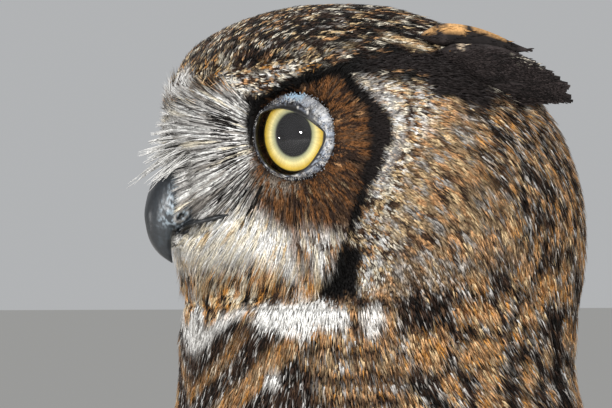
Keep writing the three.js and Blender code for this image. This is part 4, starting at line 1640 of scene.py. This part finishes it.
def lid_colours(fine, angle, share):
    """Mottled grey, pale and bluish behind and above; dark in front and near the margin; a painted highlight
    of pale blue along the top.
    """
    pale = flecked(fine, [LID_BLUE, PALE_GREY, GREY_BLUE, WHITE, SLATE, SOOT], [32, 22, 18, 8, 10, 10])
    grey = flecked(fine, [ASH, SLATE, PALE_GREY, GREY_BLUE, UMBER], [20, 26, 12, 26, 16])
    dark = flecked(fine, [SLATE, SOOT, GREY_BLUE, PALE_GREY], [34, 38, 18, 10])
    colour = painted(grey, pale, ramp(-80, -35, angle) * ramp(118, 96, angle))
    upper = ramp(5, 40, angle) * ramp(150, 120, angle) * ramp(0.62, 0.45, share)
    front = ramp(112, 132, np.abs(angle))
    colour = painted(colour, dark, np.maximum(upper, front))
    outer = ramp(0.5, 0.75, share) * ramp(5, 20, angle) * ramp(85, 70, angle)
    colour = painted(colour, mix(LID_BLUE, WHITE, 0.5), 0.5 * outer)
    # Painted highlight: a narrow pale blue band along the top, where the lids catch the light.
    top_highlight = ramp(22, 10, np.abs(angle - 84)) * ramp(0.68, 0.8, share)
    return painted(colour, HIGHLIGHT_BLUE, top_highlight)


def lid_marks(points):
    share = np.array([-1.0] * len(LINING) + [share for share, _ in LID_PROFILE])
    share = np.repeat(share, EYE_STEPS)
    angle = np.tile(lid_angle, len(LINING) + len(LID_PROFILE))
    colour = lid_colours(cell_values(points, 0.7, 51), angle, share) * 0.8
    colour = painted(colour, SOOT * 0.4, ramp(0.25, 0.19, share))
    # The lining inside the lids wears the same painted shade as the wall round the iris.
    return painted(colour, SHADED_EYE_WALL, (share < 0) * 1.0)


def lid_finish():
    """Bare skin of the lid: leathery and a little moist, with creases under a millimetre apart."""
    material, tree = new_material("lid_skin")
    marks_in = node(tree, "ShaderNodeAttribute", attribute_name="Marks")
    place = node(tree, "ShaderNodeTexCoord")
    sockets = {"Vector": place.outputs["Object"], "Scale": per_metre(0.8), "Detail": 3.0}
    creases = node(tree, "ShaderNodeTexNoise", sockets)
    relief = node(tree, "ShaderNodeBump", {"Height": creases, "Distance": 0.25 * MM, "Strength": 0.8})
    sockets = {"Base Color": marks_in, "Roughness": 0.42, "Specular IOR Level": 0.45, "Normal": relief}
    surface = node(tree, "ShaderNodeBsdfPrincipled", sockets)
    node(tree, "ShaderNodeOutputMaterial", {"Surface": surface})
    return material


lid_skin = lid_finish()
for hand, side in HANDS.items():
    points = lid_points(side)
    faces = ring_faces(len(LINING) + len(LID_PROFILE), side < 0)
    piece_from(f"lids_{hand}", points, faces, lid_marks(points), lid_skin)
print("lid opening, mm:", np.ptp(lid_edge, axis=0).round(1))

# %% [markdown]
# Tiny feathers grow on the lids and just round them. They are the smallest on the owl.

# %% Feathers on the lids
LID_FEATHERS = 1500
for hand, side in HANDS.items():
    middle, ahead, across = eye_frame(side)
    step = rng.integers(0, EYE_STEPS, LID_FEATHERS)
    share = rng.uniform(0.25, 1.05, LID_FEATHERS)
    reach = mix(edge_reach[step], lid_feet[step], share)
    angle = lid_angle[step] + rng.normal(0, 2.0, LID_FEATHERS)
    outward = np.cos(np.radians(angle))[:, None] * across + np.sin(np.radians(angle))[:, None] * UP
    height = mix(edge_height[step], face_height[step] - 0.6, share) + np.interp(share, *zip(*LID_PROFILE))
    roots = middle + outward * reach[:, None] + ahead * (height[:, None] - 0.3)
    normals = unit(ahead + 0.35 * outward)
    lie = laid_flat(outward, normals)
    length = mix(0.5, 0.9, ramp(0.3, 1, share))[:, None] * rng.uniform(0.7, 1.2, (LID_FEATHERS, 1))
    bellies = roots + lie * length * 0.45 + normals * 0.36
    tips = roots + lie * length + normals * 0.3
    turned = (angle + 180) % 360 - 180
    # The tiny feathers take the lids' colours, the painted highlight along the top among them.
    colour = lid_colours(rng.random(LID_FEATHERS), turned, share)
    slivers(f"lid_feathers_{hand}", roots, bellies, tips, normals, 0.28, colour, colour,
            globe_unwrap(roots, ahead))

# %% [markdown]
# ## Vanes
# Larger feathers are blades: thin closed forms that follow a centre line, with a raised shaft and
# drooping edges. Many are made at once. Each row across a blade has three or five points on top
# and one below, so it has thickness everywhere, and it narrows at its root and tip.

# %% Build vanes


def blades(centre, side, up, half_width, columns):
    """Closed blades. centre, side and up are arrays of blades by rows by three."""
    count, rows, _ = centre.shape
    across = np.linspace(-1, 1, columns)
    crown = 0.16 * (1 - across**2) - 0.02
    top = centre[:, :, None] + side[:, :, None] * (half_width[:, :, None] * across)[..., None]
    top = top + up[:, :, None] * (half_width[:, :, None] * crown)[..., None]
    under = centre - up * 0.35
    points = np.concatenate((top, under[:, :, None]), axis=2)
    faces = tube_faces(rows, columns + 1)
    starts = (np.arange(count) * rows * (columns + 1))[:, None, None]
    return points.reshape(-1, 3), (faces[:, ::-1] + starts).reshape(-1, 3)


def vane_places(lengths, rows, columns):
    """The Vane map: across the blade, and along it in real lengths."""
    across = np.append(np.linspace(0, 1, columns), 0.5)
    along = np.linspace(0, 1, rows)[None] * lengths[:, None] / MAP_UNIT
    grid = np.stack(np.broadcast_arrays(across[None, None], along[..., None]), axis=-1)
    return grid.reshape(-1, 2)


def blade_grid(across, along):
    """Each place across with each place along, in the order of a blade's points."""
    return np.stack(np.broadcast_arrays(across[None], along[:, None]), axis=-1).reshape(-1, 2)


def bake_places(roots_map, rows, columns):
    """The OFBake map: a small patch for each blade at its root's place."""
    across = np.append(np.linspace(-0.5, 0.5, columns), 0.0)
    patch = blade_grid(across, np.linspace(-0.5, 0.5, rows))
    return (roots_map[:, None] + patch * PATCH).reshape(-1, 2)


def rounded_tip(rows, root=0.3, fullness=0.6):
    """Half width along a body feather: narrow at the root, broad, then a round tip."""
    t = np.linspace(0, 1, rows)
    shape = np.sin(math.pi * np.clip(t, 0.02, 0.985) ** 0.85) ** fullness
    return np.maximum(shape, root * (1 - t) + 0.02)


# %% [markdown]
# ### Body feathers
# Contour feathers cover the trunk and the small coverts cover the wing, like tiles, each over
# the roots of those below it. A real feather follows the body, so each tip is laid back on the
# solid's surface. On the back each has a dark middle, and on the belly the bars run across.

# %% Body feathers
BODY_ROWS = 8
BODY_COLUMNS = 3


def cover(name, rooting, length, width, unwrap, stand=1.0):
    roots, normals, parts = rooting
    count = len(roots)
    lie = swung(lie_at(roots, normals, parts), normals, 7)
    length = length * rng.uniform(0.8, 1.15, count)
    tips = roots + lie * length[:, None]
    for number, tip in enumerate(tips):
        place, facing, _, _ = solids.find_nearest(Vector(tip))
        tips[number] = np.array(place) + np.array(facing) * stand * rng.uniform(-0.6, 0.6)
    t = np.linspace(0, 1, BODY_ROWS)[None, :, None]
    rise = np.sin(math.pi * t**0.8)
    centre = mix(roots[:, None] - normals[:, None] * 0.5, tips[:, None], t)
    centre = centre + normals[:, None] * rise * (0.09 * length)[:, None, None]
    along = unit(np.gradient(centre, axis=1))
    side = unit(np.cross(normals[:, None], along))
    up = np.cross(along, side)
    half = rounded_tip(BODY_ROWS)[None] * (width * rng.uniform(0.85, 1.15, count) / 2)[:, None]
    points, faces = blades(centre, side, up, half, BODY_COLUMNS)
    each = BODY_ROWS * (BODY_COLUMNS + 1)
    point_normals = np.repeat(pattern_normals(normals, parts), each, axis=0)
    colour = marks(points, point_normals)
    tone = np.repeat(rng.uniform(0.8, 1.16, count), each)[:, None]
    middle = np.tile((0.0, 1.0, 0.0, 0.0), count * BODY_ROWS)  # the middle of each row's top
    behind = ramp(0.0, 0.5, point_normals[:, 1])
    colour = painted(colour * tone, UMBER, 0.65 * middle * behind)
    piece = piece_from(name, points, faces, colour, keratin_vane)
    lay_out(piece, "Vane", vane_places(length, BODY_ROWS, BODY_COLUMNS))
    lay_out(piece, "OFBake", bake_places(unwrap(roots), BODY_ROWS, BODY_COLUMNS))
    print(name, "feathers:", count, "triangles:", len(faces))


on_trunk = on(middle_parts, "trunk") & (middle_up < -68)
on_wing = on(middle_parts, "wing") & (middle_up < -68)
COVERTS_END = 178  # height below which the flight feathers come out from under the coverts
under_flight = (middles[:, 2] < COVERTS_END) & (middles[:, 1] > 0.25 * (COVERTS_END - middles[:, 2]))
for hand, side in HANDS.items():
    half = on_side[hand]
    cover(f"breast_{hand}", scatter(850, on_trunk & half), 20, 12, body_unwrap)
    rooting = scatter(650, on_wing & half & ~under_flight)
    cover(f"coverts_{hand}", rooting, 22, 13.5, body_unwrap)

# %% [markdown]
# ### Loose down
# The edges of body feathers are loose, which makes an owl look soft and fly without a sound. A
# thinner layer of long tufts over the breast and belly softens the tiles below.

# %% Soften the breast, then coat the legs and toes
for hand, side in HANDS.items():
    half = on_side[hand]
    rooting = scatter(8500, on_trunk & half & (middle_facing[:, 1] < 0.35))
    grow(f"down_breast_{hand}", rooting, 7.5, 1.3, 13, 10, body_unwrap)
    thigh = on(middle_parts, "thigh") & half
    shank = on(middle_parts, "shank") & half
    toes = on(middle_parts, "toe") & half & (middles[:, 2] > 2.2)
    axis = (side * FEET_MIDDLE[0], FEET_MIDDLE[1])
    grow(f"down_thigh_{hand}", scatter(3600, thigh), 10, 1.3, 10, 9,
         lambda r, a=axis: label_unwrap(r, a))
    grow(f"down_shank_{hand}", scatter(2400, shank), 7, 1.0, 10, 9,
         lambda r, a=axis: label_unwrap(r, a))
    grow(f"down_toes_{hand}", scatter(3000, toes), 3.6, 0.75, 9, 10,
         lambda r: globe_unwrap(r, (0, 0, 1)))

# %% [markdown]
# ### Long feathers
# Flight feathers and the tail are few and large, so each is placed on its own. Its centre line
# runs from a start to a tip, and every point of it is laid on the solid below, one feather over
# the next. The rows are close together, so that the blade bends smoothly.

# %% Lay long feathers on the solids
LONG_ROWS = 20
LONG_COLUMNS = 5


def lay_long(name, feathers, outward, solid):
    """Feathers laid on one solid from outward. Each is a start, a tip, half a width, a lift and a colour."""
    starts, tips, half_widths, lifts, colours = (np.array(column) for column in zip(*feathers))
    base = tree_of(solid)
    t = np.linspace(0, 1, LONG_ROWS)[None, :, None]
    centre = mix(starts[:, None], tips[:, None], t)
    outward = unit(np.array(outward, float))
    facing = np.zeros_like(centre)
    for index in np.ndindex(centre.shape[:2]):
        from_outside = Vector(centre[index] + outward * 80)
        place, normal, _, _ = base.ray_cast(from_outside, Vector(-outward), 160)
        if place is None:
            place, normal, _, _ = base.find_nearest(Vector(centre[index]))
        normal = np.array(normal)
        facing[index] = normal if normal @ outward > 0.15 else outward
        centre[index] = place
    facing = unit(facing + facing.mean(axis=1, keepdims=True) * 2)
    # Each rises from under the feathers above it.
    lift = lifts[:, None, None] * ramp(0.04, 0.4, t) - 1.2 * ramp(0.2, 0, t)
    centre = eased(centre, 4) + facing * lift
    along = unit(np.gradient(centre, axis=1))
    side = unit(np.cross(facing, along))
    up = np.cross(along, side)
    s = np.linspace(0, 1, LONG_ROWS)
    shape = ramp(0, 0.25, s) * 0.55 + 0.45
    shape = shape * np.sqrt(np.clip(1 - ramp(0.82, 1.02, s) ** 2, 0.004, 1))
    half = half_widths[:, None] * shape[None]
    points, faces = blades(centre, side, up, half, LONG_COLUMNS)
    each = LONG_ROWS * (LONG_COLUMNS + 1)
    tone = np.repeat(colours, each, axis=0) * soft_noise(points, 4, 61)[:, None].clip(0.35, 1) * 1.5
    piece = piece_from(name, points, faces, tone, keratin_flight)
    lengths = np.linalg.norm(tips - starts, axis=1)
    lay_out(piece, "Vane", vane_places(lengths, LONG_ROWS, LONG_COLUMNS))
    lay_out(piece, "OFBake", bake_long(len(starts), LONG_ROWS, LONG_COLUMNS))
    print(name, "feathers:", len(starts))
    return piece


def bake_long(count, rows, columns):
    """Long feathers are few, so each has a strip of its own and not a tiny patch."""
    across = np.append(np.linspace(0.08, 0.92, columns), 0.5)
    strip = blade_grid(across, np.linspace(0.02, 0.98, rows))
    offset = np.arange(count)[:, None, None] * np.array((1.0 / count, 0))
    return (strip[None] * (1.0 / count, 1) + offset).reshape(-1, 2)


# %% Tail, primaries and secondaries
tail_box = node_box("tail")
TAIL_BROWN = mix(mix(ORANGE_BUFF, BUFF, 0.4), TAN, 0.45)
feathers = []
for off in np.arange(12) - 5.5:  # each feather's place from the middle of the tail
    start = (off * 3.2, tail_box[0, 1] + 6, tail_box[1, 2] - 8)
    tip_back = tail_box[1, 1] - 0.5 - 0.12 * off * off
    tip = (off * 5.0, tip_back, tail_box[0, 2] + 1.5 + 0.25 * off * off)
    feathers.append((start, tip, 8.5, 2.6 - 0.4 * abs(off), TAIL_BROWN))
tail = lay_long("tail_feathers", feathers, (0, 0.8, 0.6), "tail")
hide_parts("tail")

wing_box = node_box("wing_left")
for hand, side in HANDS.items():
    feathers = []
    for k in range(8):  # primaries
        step = k / 7
        start = (side * mix(50, 58, step), wing_box[1, 1] - mix(88, 108, step), mix(206, 176, step))
        tip_back, tip_up = wing_box[1, 1] - mix(1, 34, step), wing_box[0, 2] + mix(1, 50, step)
        tone = mix(SEPIA, BUFF, rng.uniform(0.25, 0.4))
        tip = (side * mix(23, 44, step), tip_back, tip_up)
        feathers.append((start, tip, 9.0, 1.4 + 0.45 * (7 - k), tone))
    for k in range(9):  # secondaries
        step = k / 8
        start = (side * mix(82, 62, step), mix(-8, 26, step), mix(212, 244, step))
        tip = (side * mix(60, 24, step), mix(18, 62, step), mix(106, 136, step))
        feathers.append((start, tip, 10.5, 1.6 + 0.4 * k, mix(SEPIA, TAN, rng.uniform(0.55, 0.9))))
    lay_long(f"flight_feathers_{hand}", feathers, (side * 0.8, 0.5, 0), f"wing_{hand}")

# %% [markdown]
# ### Ear tufts
# The tufts that give this owl its name are not ears. They are long charcoal feathers, laid back
# here in repose like a fan that is nearly shut. The uppermost has orange-buff patches along its
# top edge, and the next a few cream dots. Places on them are given like those on the face, back
# and up from the iris, and each feather follows its solid.

# %% Lay the feathers of the ear tufts
TUFT_VANES = 26
TUFT_ROWS = 22
TUFT_COLUMNS = 5
TUFT_BARBS = 2200
BARB_LEAN = 8  # degrees from the shaft
FIRST_VANE = [(34.5, 26.9), (40.5, 27.7), (47.0, 27.3), (54.0, 25.6), (60.5, 24.2), (66.6, 23.4)]
TUFT_TIPS = [
    (67.0, 20.8), (73.2, 17.2), (77.2, 14.0), (78.3, 11.0), (77.8, 9.2), (72.0, 8.7), (59.0, 8.8),
]
TUFT_ROOTS = [(38.0, 22.8), (39.5, 12.0)]  # the second and the lowest
PATCHES = [(37.6, 2.6, 0.75), (44.2, 3.2, 1.0), (53.5, 4.4, 0.85)]  # back, half length, strength


def tuft_lines(hand, side):
    """Centre lines of the feathers, and the way each of their points faces."""
    look = heading(side, CHEEK_YAW)
    solid = tree_of(f"ear_tuft_{hand}")
    fan = np.linspace(0, 1, TUFT_VANES)
    tips = open_curve(TUFT_TIPS, TUFT_VANES)
    tips -= rng.uniform(0, 1, (TUFT_VANES, 1)) * (2.4, -0.4)
    roots = mix(*np.array(TUFT_ROOTS), fan[:, None])
    t = np.linspace(0, 1, TUFT_ROWS)[None, :, None]
    flat = mix(roots[:, None], tips[:, None], t)
    flat[..., 1] += 1.5 * np.sin(math.pi * t[..., 0]) * (1 - fan[:, None])
    flat[0] = open_curve(FIRST_VANE, TUFT_ROWS)
    seen = beside_iris(side, flat[..., :1], flat[..., 1:])
    depth = np.full(flat.shape[:2], np.nan)
    for index in np.ndindex(depth.shape):
        hit, _, _, far = solid.ray_cast(Vector(seen[index] + look * 80), Vector(-look), 140)
        if hit is not None:
            depth[index] = 80 - far
    step = np.arange(TUFT_ROWS)
    for row in depth:
        found = ~np.isnan(row)
        row[:] = np.interp(step, step[found], row[found]) if found.any() else np.nanmedian(depth)
    t = t[..., 0]
    lift = mix(2.4, 0.3, fan)[:, None] * (1 - 0.6 * t) * ramp(0, 0.2, t) - 1.2 * ramp(0.15, 0, t)
    depth = eased(depth, 12) + lift
    return seen + look * depth[..., None], np.broadcast_to(look, seen.shape), flat


def tuft_marks(flat, height, fan, fine):
    """flat is back and up; height is 1 at a feather's top edge and -1 at its lower edge."""
    strand = cell_values(np.column_stack((fan * 40, flat[:, 0] * 0.04, fan * 0)), 1.1, 65)
    tone = mix(0.65, 1.15, fine) * mix(0.45, 2.3, strand**2)
    colour = np.tile(CHARCOAL, (len(flat), 1)) * tone[:, None]
    orange = 0.0
    for back, half, strength in PATCHES:
        within = ramp(1.0, 0.75, np.abs(flat[:, 0] - back + 2.2 * (fine - 0.5)) / half)
        orange = np.maximum(orange, strength * within)
    first = ramp(0.03, 0.0, fan) * ramp(0.1, 0.6, height - 0.4 * ramp(48, 50, flat[:, 0]))
    colour = painted(colour, mix(ORANGE_BUFF, BUFF, 0.3), orange * first)
    second = ramp(0.05, 0.0, np.abs(fan - 0.10)) * ramp(60, 62, flat[:, 0]) * ramp(70, 67, flat[:, 0])
    dots = ramp(0.1, 0.06, fan) * (fan > 0.03) * ramp(50, 48, flat[:, 0]) * ramp(0.2, 0.6, height)
    speck = soft_noise(np.column_stack((flat, fan * 0)), 1.0, 66)
    colour = painted(colour, mix(ORANGE_BUFF, CREAM, fine[:, None]), 0.85 * dots * ramp(0.46, 0.54, speck))
    return painted(colour, CREAM, 0.8 * second * ramp(0.55, 0.62, fine))


for hand, side in HANDS.items():
    centre, facing, flat = tuft_lines(hand, side)
    along = unit(np.gradient(centre, axis=1))
    across = unit(np.cross(along, facing)) * side
    facing = np.cross(across, along) * side
    s = np.linspace(0, 1, TUFT_ROWS)
    taper = np.clip(1 - ramp(0.5, 1.0, s), 0.03, 1)
    half = np.linspace(2.4, 2.8, TUFT_VANES)[:, None] * (0.25 + 0.75 * ramp(0, 0.25, s)) * taper**0.55
    half[0] *= 1.35 * taper**0.15  # the uppermost is broader and more pointed
    points, faces = blades(centre, across, facing, half, TUFT_COLUMNS)
    faces = faces if side > 0 else faces[:, ::-1]
    downward = -np.sign(across[0, 0, 2])
    height = np.append(np.linspace(1, -1, TUFT_COLUMNS), 0) * downward
    height = np.tile(height, TUFT_VANES * TUFT_ROWS)
    place = np.repeat(flat.reshape(-1, 2), TUFT_COLUMNS + 1, axis=0)
    fan = np.repeat(np.linspace(0, 1, TUFT_VANES), TUFT_ROWS * (TUFT_COLUMNS + 1))
    colour = tuft_marks(place, height, fan, soft_noise(points, 1.6, 64))
    name = f"ear_tuft_feathers_{hand}"
    tufts = piece_from(name, points, faces, colour, keratin_down)
    lengths = np.linalg.norm(centre[:, -1] - centre[:, 0], axis=1)
    lay_out(tufts, "Vane", vane_places(lengths, TUFT_ROWS, TUFT_COLUMNS))
    lay_out(tufts, "OFBake", bake_long(TUFT_VANES, TUFT_ROWS, TUFT_COLUMNS))
    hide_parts(f"ear_tuft_{hand}")

    # Barbs leave each shaft at a slant, and fray the surface and the edges.
    vane = rng.integers(0, TUFT_VANES, TUFT_BARBS)
    row, between = rng.integers(1, TUFT_ROWS - 2, TUFT_BARBS), rng.random((TUFT_BARBS, 1))
    off = rng.uniform(-1, 1, TUFT_BARBS)
    roots = mix(centre[vane, row], centre[vane, row + 1], between)
    roots = roots + across[vane, row] * (half[vane, row] * off * 0.8)[:, None]
    slant = np.radians(BARB_LEAN) * np.sign(off) * rng.uniform(0.5, 1.2, TUFT_BARBS)
    lie = along[vane, row] * np.cos(slant)[:, None] + across[vane, row] * np.sin(slant)[:, None]
    length = rng.uniform(1.6, 2.9, TUFT_BARBS)[:, None] * mix(1, 0.75, ramp(12, 18, row))[:, None]
    out = facing[vane, row]
    fan = vane / (TUFT_VANES - 1)
    colour = tuft_marks(flat[vane, row], -off * downward, fan, rng.random(TUFT_BARBS))
    slivers(f"ear_tuft_barbs_{hand}", roots + out * 0.2, roots + lie * length * 0.45 + out * 0.55,
            roots + lie * length + out * 0.45, out, 0.3, colour, colour,
            globe_unwrap(roots, heading(side, CHEEK_YAW)))
print("ear tufts, feathers on a side:", TUFT_VANES)

# %% [markdown]
# ## Studio
# The floor is plain and pale. The light is soft: a bright even surround and five lamps round the
# head. The key lamp and the weak spark before the bill are small, because each shows in the eye
# as a point and not a window.

# %% Floor, surround and lamps
floor_mesh = bpy.data.meshes.new("floor")
reach = 30.0  # metres
floor_mesh.from_pydata(
    [(-reach, -reach, 0), (reach, -reach, 0), (reach, reach, 0), (-reach, reach, 0)], [], [(0, 1, 2, 3)]
)
floor = placed("floor", floor_mesh)
floor_paint, floor_tree = new_material("matt_floor_paint")
matt = node(floor_tree, "ShaderNodeBsdfDiffuse", {"Color": (*linear("#dedcd8"), 1)})
node(floor_tree, "ShaderNodeOutputMaterial", {"Surface": matt})
floor_mesh.materials.append(floor_paint)

world = bpy.data.worlds.new("studio")
world.use_nodes = True
world.node_tree.nodes["Background"].inputs["Color"].default_value = (*linear("#dfe1e3"), 1)
world.node_tree.nodes["Background"].inputs["Strength"].default_value = 0.6
bpy.context.scene.world = world

HEAD_AIM = Vector(tuple(HEAD_MIDDLE * MM))
LAMPS = [  # name, direction from the head, metres away, size in metres, watts
    ("key", (0.73, -0.66, 0.10), 2.3, 0.32, 36),
    ("spark", (-0.18, -0.98, -0.08), 2.2, 0.2, 7),
    ("fill", (0.85, 0.35, 0.38), 2.5, 0.6, 32),
    ("top", (-0.12, 0.16, 0.95), 2.2, 0.7, 26),
    ("far_side", (-0.80, -0.34, 0.48), 2.3, 0.7, 14),
]
for name, direction, far, size, power in LAMPS:
    lamp = placed(name, bpy.data.lights.new(name, "AREA"))
    lamp.data.shape = "DISK"
    lamp.data.size = size
    lamp.data.energy = power
    away = Vector(direction).normalized()
    lamp.location = HEAD_AIM + away * far
    lamp.rotation_euler = away.to_track_quat("Z", "Y").to_euler()

# %% [markdown]
# ## Camera
# The portrait is taken from the left and a little ahead, level with the head, through a long
# lens, so that nothing is stretched.

# %% Camera
CAMERA_YAW = 72
CAMERA_FAR = 2.5  # metres
FRAME_WIDTH = 170.0  # millimetres across the picture at the head
AIM_BACK, AIM_DOWN = 3.47, 19.3  # millimetres from the iris to the middle of the picture
toward = heading(1, CAMERA_YAW)
aside = np.array((-toward[1], toward[0], 0))
aim = IRIS_MIDDLE + aside * AIM_BACK - UP * AIM_DOWN
camera = placed("camera", bpy.data.cameras.new("camera"))
camera.data.lens = camera.data.sensor_width * CAMERA_FAR / (FRAME_WIDTH * MM)
camera.data.clip_end = 100
camera.location = Vector(tuple(aim * MM + toward * CAMERA_FAR))
camera.rotation_euler = Vector(tuple(-toward)).to_track_quat("-Z", "Y").to_euler()
bpy.context.scene.camera = camera
bpy.context.scene.view_settings.view_transform = "Standard"
print("lens, mm:", round(camera.data.lens))

# %% Count, measure and finish
total = 0
for piece in PIECES:
    piece.data.calc_loop_triangles()
    total += len(piece.data.loop_triangles)
print("pieces:", len(PIECES), "triangles:", total)
